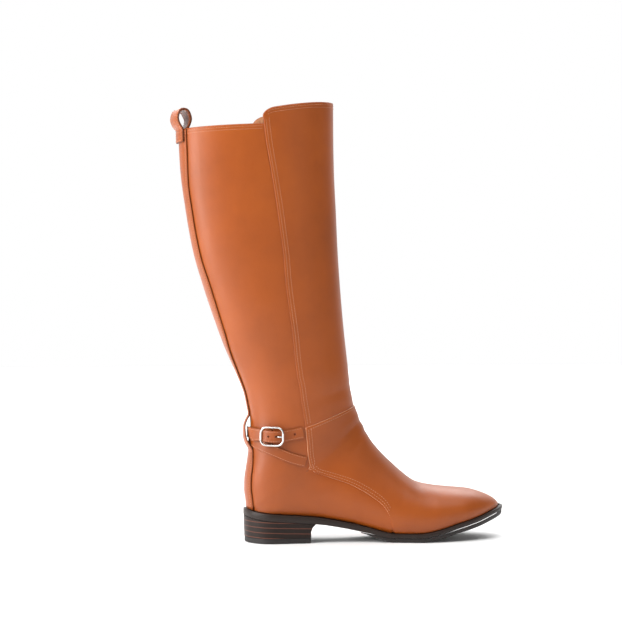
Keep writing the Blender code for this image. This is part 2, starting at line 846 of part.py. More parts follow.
def make_band(name, finish, line, thickness, half, place, columns=3):
    """A band along a side line of (along, out) points. half is half its width at each point, and
    place(along, across, out) gives the point itself."""
    inner, outer = offset_line(line, -thickness / 2), offset_line(line, thickness / 2)
    shares = np.linspace(-1, 1, columns)
    rows = []
    for low, high, reach in zip(inner, outer, np.broadcast_to(half, len(line))):
        row = [place(low[0], share * reach, low[1]) for share in shares]
        row += [place(high[0], share * reach, high[1]) for share in shares[::-1]]
        rows.append(row)
    bm = bmesh.new()
    made = add_rows(bm, rows, wrap=True)
    for ring in (made[0], made[-1]):
        add_strip(bm, ring[:columns], ring[columns:][::-1])
    return make_object(name, bm, finish)


class StrapLine:
    """A strap's centre line round the back, with the distance from the back along it. It is below 0 on the
    outer side."""

    def __init__(self, name):
        self.name = name
        self.v = np.linspace(-0.54, 0.54, 73)
        points = np.array([base_point(self.q_at(v), v) for v in self.v])
        run = np.append(0, np.cumsum(np.linalg.norm(np.diff(points, axis=0), axis=1)))
        self.run = run - np.interp(0, self.v, run)

    def q_at(self, v):
        return float(STRAP_LINES.read(self.name, abs(v)))

    def along(self, v):
        return float(np.interp(v, self.v, self.run))

    def frame(self, along):
        """The centre point's q and v, and the directions along the strap, across it and outwards."""
        v = float(np.interp(along, self.run, self.v))
        normal = outward(self.q_at(v), v)
        before, after = (base_point(self.q_at(v + step), v + step) for step in (-NUDGE, NUDGE))
        forward = after - before
        forward = unit(forward - normal * (forward @ normal))
        across = np.cross(normal, forward)
        return self.q_at(v), v, forward, across * math.copysign(1, across[2]), normal

    def place(self, along, across, out):
        """A point of the strap. Its place across the strap is found on the upper's own surface."""
        q, v, _, sideways, _ = self.frame(along)
        by_q = (base_point(q + NUDGE, v) - base_point(q - NUDGE, v)) / (2 * NUDGE)
        by_v = (base_point(q, v + NUDGE) - base_point(q, v - NUDGE)) / (2 * NUDGE)
        steps = np.linalg.lstsq(np.stack((by_q, by_v), axis=1), across * sideways, rcond=None)[0]
        return surface(q + steps[0], v + steps[1], out)


ANKLE_MIDDLE = CLEARANCE + ANKLE_STRAP_THICKNESS / 2
CHAPE_LOW_MIDDLE = CLEARANCE + CHAPE_THICKNESS / 2
CHAPE_HIGH_MIDDLE = 2 * CLEARANCE + ANKLE_STRAP_THICKNESS + CHAPE_THICKNESS / 2
TIP_MIDDLE = CHAPE_HIGH_MIDDLE + CHAPE_THICKNESS / 2 + 1.6 * CLEARANCE + STRAP_THICKNESS / 2
SIDE_BAR_LIFT = TIP_MIDDLE + STRAP_THICKNESS / 2 + 2 * CLEARANCE + BUCKLE_WIRE / 2
FOLD_RADIUS = BUCKLE_BAR / 2 + CLEARANCE + CHAPE_THICKNESS / 2
APART_V = 0.36
STRAP_SPACING = 0.0045
SEAM_GAP = 0.0022


def seam_along(line, side):
    """Where a strap ends, just short of the panel's edge."""
    vs = [v for v in line.v if v * side > 0 and abs(v) < abs(edge_v(line.q_at(v), side))]
    end = max(vs, key=abs)
    return line.along(end) - side * SEAM_GAP


def spaced(start, end):
    return np.linspace(start, end, max(3, round(abs(end - start) / STRAP_SPACING)))


def make_ankle_strap(finish):
    line = StrapLine("ankle")
    alongs = spaced(seam_along(line, -1), seam_along(line, 1))
    side_line = np.stack((alongs, np.full(len(alongs), ANKLE_MIDDLE)), axis=1)
    return make_band("ankle_strap", finish, side_line, ANKLE_STRAP_THICKNESS, ANKLE_STRAP_WIDTH / 2, line.place)


# The buckle strap's middle from its tip to the seam: how far past the buckle's centre bar, as a share of half
# the buckle's width, and how far out it lies between its lowest and the level of its tip.
STRAP_WEAVE = Table(
    ("past", "level"),
    (-STRAP_TIP_REACH, 1.00),
    (-0.84, 1.00),
    (-0.55, 1.40),
    (-0.28, 1.62),
    (0.00, 1.70),
    (0.28, 1.62),
    (0.55, 1.20),
    (0.84, 0.70),
    (1.35, 0.20),
    (1.70, 0.02),
    (2.70, 0.00),
)

# The strap's holes: how far past the centre bar, by the same measure, and how long they are.
HOLES = ((-0.21, STRAP_HOLE), (0.45, PRONG_HOLE), (1.74, STRAP_HOLE))


def make_buckle_strap(finish):
    line = StrapLine("buckle")
    centre = line.along(BUCKLE_V)
    half_buckle = BUCKLE_WIDTH / 2
    tip, seam = centre + STRAP_TIP_REACH * half_buckle, seam_along(line, -1)
    alongs = np.linspace(seam, tip, round(1.6 * (tip - seam) / STRAP_SPACING))
    past = (centre - alongs) / half_buckle
    low = CLEARANCE + STRAP_THICKNESS / 2
    outs = low + STRAP_WEAVE.read("level", past) * (TIP_MIDDLE - low)
    widening = np.clip(-past - 0.9, 0, 1)
    half = (STRAP_WIDTH + widening * (STRAP_TIP_WIDTH - STRAP_WIDTH)) / 2

    def place(along, across, out):
        lean = max(0.0, (along - centre) / half_buckle - 1) / (STRAP_TIP_REACH - 1)
        return line.place(along + lean * STRAP_TIP_CUT * across / STRAP_TIP_WIDTH, across, out)

    side_line = np.stack((alongs, outs), axis=1)
    made = make_band("buckle_strap", finish, side_line, STRAP_THICKNESS, half, place)
    for share, long in HOLES:
        along = centre - share * half_buckle
        cut_hole(made, line, along, float(np.interp(along, alongs, outs)), long)
    return made


def cut_hole(strap, line, along, out, long):
    """An oval hole through the strap."""
    _, _, forward, across, normal = line.frame(along)
    centre = line.place(along, 0, out)
    turns = np.linspace(0, 2 * math.pi, 12, endpoint=False)
    oval = [math.cos(a) * long / 2 * forward + math.sin(a) * STRAP_HOLE / 2 * across for a in turns]
    reach = 1.4 * STRAP_THICKNESS * normal
    bm = bmesh.new()
    for ring in add_rows(bm, [[centre + end * reach + point for point in oval] for end in (-1, 1)], wrap=True):
        bm.faces.new(ring)
    cut_with(strap, bm)


def cut_with(piece, bm):
    """Cuts a piece with a closed shape, which stays hidden."""
    face_outwards(bm)
    mesh = bpy.data.meshes.new(piece.name + "_cutter")
    bm.to_mesh(mesh)
    bm.free()
    cutter = bpy.data.objects.new(piece.name + "_cutter", mesh)
    bpy.context.scene.collection.objects.link(cutter)
    cutter.hide_render = True
    cutter.display_type = "WIRE"
    modifier = piece.modifiers.new("cut", "BOOLEAN")
    modifier.operation = "DIFFERENCE"
    modifier.solver = "EXACT"
    modifier.object = cutter


def make_chape_strap(finish):
    line = StrapLine("buckle")
    bar = line.along(BUCKLE_V)
    lower_lift = BAR_LIFT - FOLD_RADIUS
    last, apart, seam = line.along(-BUCKLE_V), line.along(APART_V), seam_along(line, 1)
    keys = np.array((bar, bar + 0.4 * CHAPE_FOLD, bar + 0.9 * CHAPE_FOLD, last, apart, seam))
    lifts = np.array((lower_lift, 1.2 * lower_lift, *2 * [CHAPE_HIGH_MIDDLE], *2 * [CHAPE_LOW_MIDDLE]))
    alongs = spaced(seam, bar)
    alongs = np.sort(np.append(alongs[1:-1], (seam, *keys[:3])))[::-1]
    lower = [(along, float(monotone(keys, lifts, along))) for along in alongs]
    turn = np.linspace(0, math.pi, 7)[1:]
    round_bar = [(bar - FOLD_RADIUS * math.sin(a), BAR_LIFT - FOLD_RADIUS * math.cos(a)) for a in turn]
    over = BAR_LIFT + FOLD_RADIUS
    end_lift = float(monotone(keys, lifts, bar + CHAPE_FOLD)) + CHAPE_THICKNESS + CLEARANCE
    back = [(bar + share * CHAPE_FOLD, over + (end_lift - over) * share**2) for share in (0.35, 0.7, 1.0)]
    side_line = np.array(lower + round_bar + back)
    made = make_band("chape_strap", finish, side_line, CHAPE_THICKNESS, CHAPE_WIDTH / 2, line.place)
    buckle = BuckleFrame(line)
    bm = bmesh.new()
    bmesh.ops.create_cube(bm, size=1)
    for vertex in bm.verts:
        x, y, z = vertex.co
        past = 0.1 * CHAPE_SLOT_LENGTH + CHAPE_SLOT_LENGTH * x
        vertex.co = buckle.point(past, CHAPE_SLOT * y, BAR_LIFT + 5 * FOLD_RADIUS * z)
    cut_with(made, bm)
    return made


class BuckleFrame:
    """The plane that touches the upper under the buckle's centre bar."""

    def __init__(self, line):
        q, v, forward, across, normal = line.frame(line.along(BUCKLE_V))
        self.origin = base_point(q, v)
        self.toward_seam = -forward
        self.up = across
        self.out = normal

    def point(self, past, up, out):
        return self.origin + past * self.toward_seam + up * self.up + out * self.out


def add_tube(bm, points, radius, flat_normal, closed=False, sides=8):
    """A round bar along points that lie in a plane."""
    points = [np.array(point, float) for point in points]
    count = len(points)
    rings = []
    for i, point in enumerate(points):
        before = points[i - 1] if closed or i else point
        after = points[(i + 1) % count] if closed or i < count - 1 else point
        sideways = unit(np.cross(flat_normal, unit(after - before)))
        turns = np.linspace(0, 2 * math.pi, sides, endpoint=False)
        rings.append([point + radius * (math.cos(a) * flat_normal + math.sin(a) * sideways) for a in turns])
    if closed:
        rings.append(rings[0])
    made = add_rows(bm, rings, wrap=True)
    if not closed:
        bm.faces.new(made[0])
        bm.faces.new(made[-1])


def join(name, finish, first, second):
    """One solid from two shapes that cross."""
    made = make_object(name, first, finish)
    other = make_object(name + "_half", second, finish)
    other.hide_render = True
    other.display_type = "WIRE"
    modifier = made.modifiers.new("join", "BOOLEAN")
    modifier.operation = "UNION"
    modifier.solver = "EXACT"
    modifier.object = other
    return made


SIDE_FALL = 0.0012


def make_buckle_frame(finish):
    buckle = BuckleFrame(StrapLine("buckle"))
    level = SIDE_BAR_LIFT - SIDE_FALL - BUCKLE_TILT / 2
    reach = (BUCKLE_WIDTH - BUCKLE_WIRE) / 2
    rise = (BUCKLE_HEIGHT - BUCKLE_WIRE) / 2
    corner = BUCKLE_CORNER

    def in_frame(past, up):
        return buckle.point(past, up, level - past / reach * BUCKLE_TILT / 2)

    outline = []
    for quarter, (x, y) in enumerate(((1, 1), (-1, 1), (-1, -1), (1, -1))):
        for a in np.linspace(0, math.pi / 2, 5):
            turn = a + quarter * math.pi / 2
            past = x * (reach - corner) + corner * math.cos(turn)
            outline.append(in_frame(past, y * (rise - corner) + corner * math.sin(turn)))
    ring = bmesh.new()
    tilted = unit(np.cross(outline[5] - outline[0], outline[10] - outline[0]))
    add_tube(ring, outline, BUCKLE_WIRE / 2, tilted, closed=True)
    bar = bmesh.new()
    bend = STRAP_WIDTH / 2
    ups = (-rise, -rise + 0.0004, -bend, 0, bend, rise - 0.0004, rise)
    outs = (level, level, BAR_LIFT, BAR_LIFT, BAR_LIFT, level, level)
    add_tube(bar, [buckle.point(0, up, out) for up, out in zip(ups, outs)], BUCKLE_BAR / 2, buckle.toward_seam)
    return join("buckle_frame", finish, ring, bar)


def make_buckle_prong(finish):
    buckle = BuckleFrame(StrapLine("buckle"))
    loop_radius = BUCKLE_BAR / 2 + CLEARANCE + PRONG_WIRE / 2
    turns = np.linspace(0, 2 * math.pi, 12, endpoint=False)
    loop = [buckle.point(loop_radius * math.sin(a), 0, BAR_LIFT + loop_radius * math.cos(a)) for a in turns]
    ring = bmesh.new()
    add_tube(ring, loop, PRONG_WIRE / 2, buckle.up, closed=True, sides=6)
    rest = SIDE_BAR_LIFT - SIDE_FALL - BUCKLE_TILT + BUCKLE_WIRE / 2 + CLEARANCE + PRONG_WIRE / 2
    start = BAR_LIFT + loop_radius
    reach = BUCKLE_WIDTH / 2
    path = [
        (0, start),
        (0.24 * reach, start),
        (0.40 * reach, start + 0.5 * (rest - start)),
        (0.58 * reach, rest + PRONG_WIRE / 4),
        (0.78 * reach, rest + PRONG_WIRE / 4),
        (1.04 * reach, rest),
    ]
    shaft = bmesh.new()
    points = [buckle.point(past, 0, out) for past, out in smooth_line(path, 12)]
    add_tube(shaft, points, PRONG_WIRE / 2, buckle.up, sides=6)
    return join("buckle_prong", finish, ring, shaft)


BACKSTAY_TOP_DROP = 0.0004
BACKSTAY_COLUMNS = 7


def backstay_place(q, across, out):
    """A point over the back of the upper, this far to the inner side of its middle line."""
    side = -1 if across < 0 else 1
    return surface(q, math.copysign(v_of_length(q, abs(across), side), across), out)


def keeper_lift(z):
    """How far the backstay stands off, over the straps."""
    middle_z = (KEEPER_LOW + KEEPER_HIGH) / 2
    share = abs(z - middle_z) / (KEEPER_HIGH - KEEPER_LOW) * 2
    return KEEPER_RISE * float(np.clip(1.06 - share**2.4, 0, 1)) if share < 1.02 else 0.0


def q_of_back(z):
    """The q of the back at this height."""
    return locate(back_line(z) + 1e-6, z, 1)[0]


@lru_cache(maxsize=None)
def seat_run(side):
    """Places along the upper's lower edge from the heel's back: their q, and the distance to each."""
    qs = np.linspace(HEEL_Q, HEEL_Q - HEEL_STATION_GAP, 25)
    points = np.array([base_point(q, side * 0.0) for q in qs])
    return qs, np.append(0, np.cumsum(np.linalg.norm(np.diff(points, axis=0), axis=1)))


def seat_place(across, out):
    """A point over the upper's lower edge, this far round the heel to the inner side."""
    side = -1 if across < 0 else 1
    qs, run = seat_run(side)
    point = surface(float(np.interp(abs(across), run, qs)), side * 0.0, out)
    point[2] = max(point[2], float(seat(point[0])))
    return point


def make_backstay(finish):
    collar = collar_height(back_line(SHAFT_HEIGHT), False) - BACKSTAY_TOP_DROP
    heights = list(np.linspace(HEEL_SEAT, KEEPER_LOW, 9)[:-1])
    heights += list(np.linspace(KEEPER_LOW, KEEPER_HIGH, 12)[:-1])
    heights += list(np.linspace(KEEPER_HIGH, collar, 14))
    shares = np.linspace(-1, 1, BACKSTAY_COLUMNS)
    rows = []
    for z in heights:
        q = q_of_back(z)
        half = float(BACKSTAY_PLAN.read("half", q)) * BACKSTAY_WIDTH
        shift = -float(BACKSTAY_PLAN.read("outward", q)) * BACKSTAY_WIDTH
        lift = 1.6 * CLEARANCE + keeper_lift(z)
        place = seat_place if z == HEEL_SEAT else lambda across, out: backstay_place(q, across, out)
        row = [place(shift + share * half, lift) for share in shares]
        row += [place(shift + share * half, lift + BACKSTAY_THICKNESS) for share in shares[::-1]]
        rows.append(row)
    bm = bmesh.new()
    made = add_rows(bm, rows, wrap=True)
    for ring in (made[0], made[-1]):
        add_strip(bm, ring[:BACKSTAY_COLUMNS], ring[BACKSTAY_COLUMNS:][::-1])
    return make_object("backstay", bm, finish)


LOOP_TURN = math.radians(14)
LOOP_SHIFT = -0.0045


def make_pull_loop(finish):
    """A band over the collar's back edge: its outer leg on the backstay, its ring above and its inner leg inside."""
    collar = collar_height(back_line(SHAFT_HEIGHT), False)
    outer_leg = 3 * CLEARANCE + BACKSTAY_THICKNESS + LOOP_THICKNESS / 2
    inner_leg = -WALL - 2 * CLEARANCE - LOOP_THICKNESS / 2
    ring = LOOP_REACH - LOOP_THICKNESS / 2
    top = LOOP_HEIGHT - LOOP_THICKNESS / 2
    path = [
        (inner_leg, -LOOP_LEG),
        (inner_leg, -0.4 * LOOP_LEG),
        (inner_leg, 0.0),
        (-0.80 * ring, 0.25 * top),
        (-ring, 0.55 * top),
        (-0.62 * ring, 0.90 * top),
        (0, top),
        (0.62 * ring, 0.90 * top),
        (ring, 0.55 * top),
        (0.85 * ring, 0.25 * top),
        (outer_leg, 0.0),
        (outer_leg, -0.4 * LOOP_LEG),
        (outer_leg, -LOOP_LEG),
    ]
    q_top = q_of_back(collar)
    flat_out = np.array((-math.cos(LOOP_TURN), -math.sin(LOOP_TURN), 0))
    flat_across = np.array((-math.sin(LOOP_TURN), math.cos(LOOP_TURN), 0))
    centre = backstay_place(q_top, LOOP_SHIFT, 0)

    def place(out, across, up):
        if up < 0:
            return backstay_place(q_of_back(collar + up), LOOP_SHIFT + across, out)
        near = backstay_place(q_top, LOOP_SHIFT + across, out)
        flat = centre + out * flat_out + across * flat_across
        share = float(np.clip(up / top, 0, 1)) ** 0.7
        point = near + share * (flat - near)
        point[2] = centre[2] + up
        return point

    line = smooth_line(path, 34)
    return make_band("pull_loop", finish, line, LOOP_THICKNESS, LOOP_WIDTH / 2, place, columns=5)


def main():
    for item in list(bpy.data.objects):
        bpy.data.objects.remove(item)
    leather = material("tan_leather", (0.42, 0.17, 0.06), 0.4)
    sole_leather = material("dark_sole", (0.045, 0.025, 0.018), 0.45)
    stack = material("heel_stack", (0.07, 0.03, 0.02), 0.45)
    lift = material("lift_rubber", (0.02, 0.015, 0.013), 0.6)
    lining = material("insole_leather", (0.50, 0.33, 0.20), 0.7)
    steel = material("polished_steel", (0.80, 0.80, 0.80), 0.18, metallic=1.0)
    make_upper(leather)
    make_insole(lining)
    make_midsole(sole_leather)
    make_outsole(sole_leather)
    make_heel(stack)
    make_top_lift(lift)
    make_backstay(leather)
    make_pull_loop(leather)
    make_ankle_strap(leather)
    make_chape_strap(leather)
    make_buckle_strap(leather)
    make_buckle_frame(steel)
    make_buckle_prong(steel)


main()
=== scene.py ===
"""The looks of a knee-high riding boot for the right foot, laid out as a Blender add-on.

Metres. +X points to the toe, -Y to the boot's outer side and +Z up. The fine pieces follow the same
sections as the boot's solids: q runs from 0 at the toe's tip to 3 at the collar, and v round each section
from 0 at the back to -1 at the front on the outer side and to 1 on the inner side.
"""

import math
from collections import namedtuple
from functools import lru_cache

import bmesh
import bpy
import numpy as np
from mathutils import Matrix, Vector


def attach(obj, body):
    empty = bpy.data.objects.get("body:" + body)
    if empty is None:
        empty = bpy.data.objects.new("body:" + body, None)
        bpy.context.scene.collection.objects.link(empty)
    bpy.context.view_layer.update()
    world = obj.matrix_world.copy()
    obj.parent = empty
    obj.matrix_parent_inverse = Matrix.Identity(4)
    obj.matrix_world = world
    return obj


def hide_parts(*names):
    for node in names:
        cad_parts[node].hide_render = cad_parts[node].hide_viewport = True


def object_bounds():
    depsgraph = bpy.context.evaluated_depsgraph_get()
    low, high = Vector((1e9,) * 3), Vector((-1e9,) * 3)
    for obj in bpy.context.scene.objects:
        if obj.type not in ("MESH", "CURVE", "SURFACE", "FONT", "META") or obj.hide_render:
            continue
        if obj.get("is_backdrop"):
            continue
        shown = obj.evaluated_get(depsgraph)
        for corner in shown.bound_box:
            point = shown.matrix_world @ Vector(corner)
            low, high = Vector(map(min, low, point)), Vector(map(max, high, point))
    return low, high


bl_info = {
    "name": "Riding boot",
    "version": (1, 0, 0),
    "blender": (4, 5, 0),
    "location": "View3D > Sidebar > Boot",
    "description": "Leather, stitches, buckle, sole and stage of a knee-high riding boot",
    "category": "Object",
}

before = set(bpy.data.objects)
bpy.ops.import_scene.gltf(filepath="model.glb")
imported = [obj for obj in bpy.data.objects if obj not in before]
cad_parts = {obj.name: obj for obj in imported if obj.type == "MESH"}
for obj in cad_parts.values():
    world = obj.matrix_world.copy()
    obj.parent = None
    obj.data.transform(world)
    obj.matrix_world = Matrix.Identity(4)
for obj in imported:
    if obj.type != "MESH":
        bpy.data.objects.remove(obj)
CAD_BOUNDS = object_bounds()

# Sole and heel.
SOLE_LENGTH = 0.272
BALL_WIDTH = 0.089
HEEL_WIDTH = 0.060
HEEL_BACK = -0.0355
HEEL_BREAST = 0.0297
HEEL_HEIGHT = 0.0217
TOP_LIFT_THICKNESS = 0.0052
PLATE_THICKNESS = 0.0072
TREAD_THICKNESS = 0.0039
TOE_SPRING = 0.0265
TREAD_START = 0.080
RIM = 0.0045
TOE_RIM = 0.0060
HEEL_ROUNDING = 0.030
TOE_ROUNDING = 0.050
EDGE_BEVEL = 0.0009
BREAST_FLARE = 0.0046
INSOLE_THICKNESS = 0.0026

# Upper and shaft.
INSTEP_HEIGHT = 0.138
SHAFT_HEIGHT = 0.4450
TOP_DEPTH = 0.1565
TOP_WIDTH = 0.083
PIVOT_REACH = 0.083
PIVOT_RISE = 0.029
TOE_BOX_ROUNDING = 0.045
WALL = 0.0016
PANEL_STEP = 0.0009
VAMP_STEP = 0.0015
REAR_COLLAR_DROP = 0.029
REAR_COLLAR_RISE = 0.004
PANEL_CORNER_DROP = 0.018
PANEL_SHOULDER_DROP = 0.0108
PANEL_SHOULDER_WIDTH = 0.15

# Backstay, pull loop, straps and buckle.
BACKSTAY_THICKNESS = 0.0012
BACKSTAY_WIDTH = 0.0335
KEEPER_LOW = 0.094
KEEPER_HIGH = 0.128
KEEPER_RISE = 0.0058
LOOP_THICKNESS = 0.0022
LOOP_WIDTH = 0.024
LOOP_REACH = 0.0083
LOOP_HEIGHT = 0.021
LOOP_LEG = 0.013
STRAP_WIDTH = 0.0116
STRAP_TIP_WIDTH = 0.0134
STRAP_THICKNESS = 0.0016
STRAP_TIP_REACH = 2.0
STRAP_TIP_CUT = 0.0060
ANKLE_STRAP_WIDTH = 0.0106
ANKLE_STRAP_THICKNESS = 0.0015
CHAPE_WIDTH = 0.0108
CHAPE_THICKNESS = 0.0012
CHAPE_FOLD = 0.0065
CHAPE_SLOT = 0.0024
CHAPE_SLOT_LENGTH = 0.0078
BUCKLE_WIDTH = 0.0250
BUCKLE_HEIGHT = 0.0200
BUCKLE_CORNER = 0.0060
BUCKLE_WIRE = 0.0020
BUCKLE_BAR = 0.0018
BUCKLE_V = -0.261
BUCKLE_TILT = 0.0009
BAR_LIFT = 0.0030
PRONG_WIRE = 0.0012
STRAP_HOLE = 0.0022
PRONG_HOLE = 0.0058

CLEARANCE = 0.0003
SEAT_CLEARANCE = 0.0006

TOE_TIP = HEEL_BACK + SOLE_LENGTH
UPPER_BACK = HEEL_BACK + RIM
UPPER_TOE = TOE_TIP - TOE_RIM

LEAST_EDGE_V = 0.03
HEEL_STATION_GAP = 0.12
SIDE_FALL = 0.0012
LOOP_TURN = math.radians(14)
LOOP_SHIFT = -0.0045
INSOLE_MARGIN = 0.0014
HEEL_INSET_TOP = 0.0003
HEEL_INSET_FOOT = 0.0010
TREAD_INSET = 0.0006
TREAD_ROUNDING = 0.0018
BACKSTAY_TOP_DROP = 0.0004


def monotone(xs, ys, at):
    """Reads a monotone cubic curve through the points (xs, ys)."""
    steps = np.diff(xs)
    slopes = np.diff(ys) / steps
    tangents = np.zeros_like(ys)
    tangents[0] = slopes[0]
    tangents[-1] = slopes[-1]
    for i in range(1, len(xs) - 1):
        if slopes[i - 1] * slopes[i] > 0:
            before = 2 * steps[i] + steps[i - 1]
            after = steps[i] + 2 * steps[i - 1]
            tangents[i] = (before + after) / (before / slopes[i - 1] + after / slopes[i])
    at = np.clip(at, xs[0], xs[-1])
    i = np.clip(np.searchsorted(xs, at) - 1, 0, len(xs) - 2)
    u = (at - xs[i]) / steps[i]
    return (
        ys[i] * (1 + 2 * u) * (1 - u) ** 2
        + tangents[i] * steps[i] * u * (1 - u) ** 2
        + ys[i + 1] * u * u * (3 - 2 * u)
        - tangents[i + 1] * steps[i] * u * u * (1 - u)
    )


class Table:
    """Rows under named columns, each read between its rows along a smooth curve."""

    def __init__(self, columns, *rows):
        values = np.array(rows, float).T
        self.key = values[0]
        self.columns = dict(zip(columns, values))

    def read(self, column, at):
        return monotone(self.key, self.columns[column], at)


# Half widths of the sole as shares of half the heel's and half the ball's width, and how far its middle
# lies towards the inner side, as a share of the ball's width. "at" is a share of the sole's length.
SOLE_PLAN = Table(
    ("at", "of_heel", "of_ball", "inward"),
    (0.00, 0.98, 0.00, 0.000),
    (0.10, 1.00, 0.00, 0.000),
    (0.20, 0.98, 0.00, -0.004),
    (0.30, 0.60, 0.21, -0.022),
    (0.40, 0.30, 0.39, -0.050),
    (0.50, 0.10, 0.60, -0.066),
    (0.60, 0.00, 0.83, -0.050),
    (0.66, 0.00, 0.94, -0.028),
    (0.72, 0.00, 1.00, 0.000),
    (0.80, 0.00, 0.97, 0.028),
    (0.88, 0.00, 0.87, 0.050),
    (0.94, 0.00, 0.78, 0.060),
    (1.00, 0.00, 0.72, 0.064),
)

# The plate's underside as shares of the heel's height and of the toe spring, over the ball's level, with the
# plate's and the tread's thickness as shares of their own.
SOLE_SIDE = Table(
    ("at", "heel", "toe", "plate", "tread"),
    (0.00, 1.31, 0.00, 1.00, 0.00),
    (0.04, 1.15, 0.00, 1.00, 0.00),
    (0.09, 1.05, 0.00, 1.00, 0.00),
    (0.13, 1.00, 0.00, 1.00, 0.00),
    (0.24, 0.87, 0.00, 0.99, 0.00),
    (0.28, 0.81, 0.00, 0.95, 0.00),
    (0.34, 0.66, 0.00, 0.90, 0.00),
    (0.40, 0.48, 0.00, 0.87, 0.10),
    (0.46, 0.28, 0.00, 0.76, 0.50),
    (0.52, 0.06, 0.00, 0.68, 0.90),
    (0.545, 0.00, 0.00, 0.64, 1.00),
    (0.64, 0.00, 0.00, 0.63, 1.00),
    (0.72, 0.00, 0.14, 0.63, 1.05),
    (0.79, 0.00, 0.34, 0.64, 1.15),
    (0.88, 0.00, 0.57, 0.65, 1.25),
    (0.94, 0.00, 0.75, 0.62, 1.32),
    (1.00, 0.00, 0.92, 0.52, 1.35),
)

# The back of the heel, from the sole up to the level of the instep: how far it stands forward, as a share
# of the sole's length.
HEEL_SIDE = Table(
    ("up", "forward"),
    (0.00, 0.0000),
    (0.08, -0.0030),
    (0.18, -0.0080),
    (0.28, -0.0072),
    (0.37, -0.0022),
    (0.47, 0.0037),
    (0.56, 0.0078),
    (0.68, 0.0095),
    (0.81, 0.0096),
    (0.92, 0.0067),
    (1.00, 0.0008),
)

# The leg, from the level of the instep up to the collar: the same for its back, and its depth from back to
# front as a share of the depth at the top.
LEG_SIDE = Table(
    ("up", "forward", "depth"),
    (0.000, 0.0008, 0.687),
    (0.035, -0.0073, 0.688),
    (0.116, -0.0423, 0.726),
    (0.182, -0.0758, 0.770),
    (0.249, -0.1048, 0.806),
    (0.383, -0.1568, 0.873),
    (0.511, -0.1988, 0.929),
    (0.645, -0.2264, 0.965),
    (0.779, -0.2463, 0.987),
    (0.866, -0.2518, 0.993),
    (1.000, -0.2568, 1.000),
)

# The top line of the foot from the instep to the toe: its height over the sole as a share of the instep's.
INSTEP_SIDE = Table(
    ("at", "height"),
    (0.000, 1.000),
    (0.042, 0.872),
    (0.076, 0.797),
    (0.117, 0.722),
    (0.174, 0.654),
    (0.240, 0.585),
    (0.315, 0.497),
    (0.388, 0.425),
    (0.458, 0.377),
    (0.527, 0.338),
    (0.596, 0.302),
    (0.664, 0.266),
    (0.733, 0.236),
    (0.802, 0.219),
    (0.868, 0.197),
    (0.920, 0.178),
    (1.000, 0.150),
)

# The sections: half width as shares of half the ball's and half the top's width, how far along the widest
# place lies, the roundness of its front and back (2 is an ellipse), and how far the middle of the widest
# place and the ridge lie towards the inner side, as shares of the ball's width.
SECTIONS = Table(
    ("q", "of_ball", "of_top", "widest", "front", "back", "inward", "ridge"),
    (0.00, 0.00, 0.00, 0.20, 2.2, 2.2, 0.067, 0.067),
    (0.50, 0.45, 0.00, 0.22, 2.2, 2.2, 0.045, 0.055),
    (1.00, 0.93, 0.00, 0.25, 2.1, 2.2, 0.000, 0.030),
    (1.18, 0.86, 0.00, 0.30, 2.0, 2.2, -0.022, 0.014),
    (1.36, 0.50, 0.30, 0.34, 1.9, 2.2, -0.018, 0.006),
    (1.50, 0.22, 0.56, 0.40, 1.9, 2.2, -0.006, 0.002),
    (1.58, 0.16, 0.61, 0.42, 1.9, 2.2, 0.000, 0.000),
    (1.78, 0.12, 0.69, 0.47, 2.0, 2.2, 0.000, 0.000),
    (2.00, 0.06, 0.81, 0.49, 2.1, 2.2, 0.000, 0.000),
    (2.32, 0.02, 0.93, 0.50, 2.1, 2.2, 0.000, 0.000),
    (2.68, 0.00, 0.98, 0.50, 2.1, 2.2, 0.000, 0.000),
    (3.00, 0.00, 1.00, 0.50, 2.1, 2.2, 0.000, 0.000),
)

# The front panel's and the vamp's edge: its place along each section, as seen from the side.
PANEL_EDGE = Table(
    ("q", "along"),
    (1.180, 0.000),
    (1.210, 0.190),
    (1.240, 0.318),
    (1.275, 0.390),
    (1.325, 0.433),
    (1.385, 0.465),
    (1.455, 0.484),
    (1.530, 0.490),
    (1.590, 0.494),
    (1.615, 0.508),
    (1.685, 0.508),
    (1.740, 0.493),
    (1.805, 0.482),
    (1.880, 0.468),
    (1.990, 0.484),
    (2.170, 0.540),
    (2.350, 0.563),
    (2.470, 0.580),
    (2.610, 0.572),
    (2.740, 0.557),
    (2.900, 0.524),
    (3.000, 0.508),
)

# The centre lines of the ankle strap and the buckle strap: their q at each v from the back, on both sides.
STRAP_LINES = Table(
    ("v", "ankle", "buckle"),
    (0.000, 1.797, 1.817),
    (0.070, 1.789, 1.812),
    (0.165, 1.768, 1.803),
    (0.260, 1.740, 1.787),
    (0.350, 1.707, 1.774),
    (0.455, 1.665, 1.764),
    (0.540, 1.627, 1.757),
)

# The backstay from the sole to the collar: half its width, and how far its middle lies to the outer side, as
# shares of its width at the collar.
BACKSTAY_PLAN = Table(
    ("q", "half", "outward"),
    (1.58, 0.470, 0.000),
    (1.70, 0.455, 0.020),
    (1.76, 0.360, 0.000),
    (1.85, 0.225, -0.090),
    (1.92, 0.225, -0.080),
    (2.03, 0.270, -0.050),
    (2.18, 0.430, 0.020),
    (2.32, 0.460, 0.045),
    (2.45, 0.450, 0.015),
    (2.66, 0.450, 0.020),
    (2.80, 0.490, 0.060),
    (3.00, 0.500, 0.060),
)

VAMP_SEAM_Q = 1.776


def length_share(x):
    return (x - HEEL_BACK) / SOLE_LENGTH


def rounded(share, power=2.0):
    """How far a superellipse has opened at this share of the way in from its end."""
    return (1 - (1 - np.clip(share, 0, 1)) ** power) ** (1 / power)


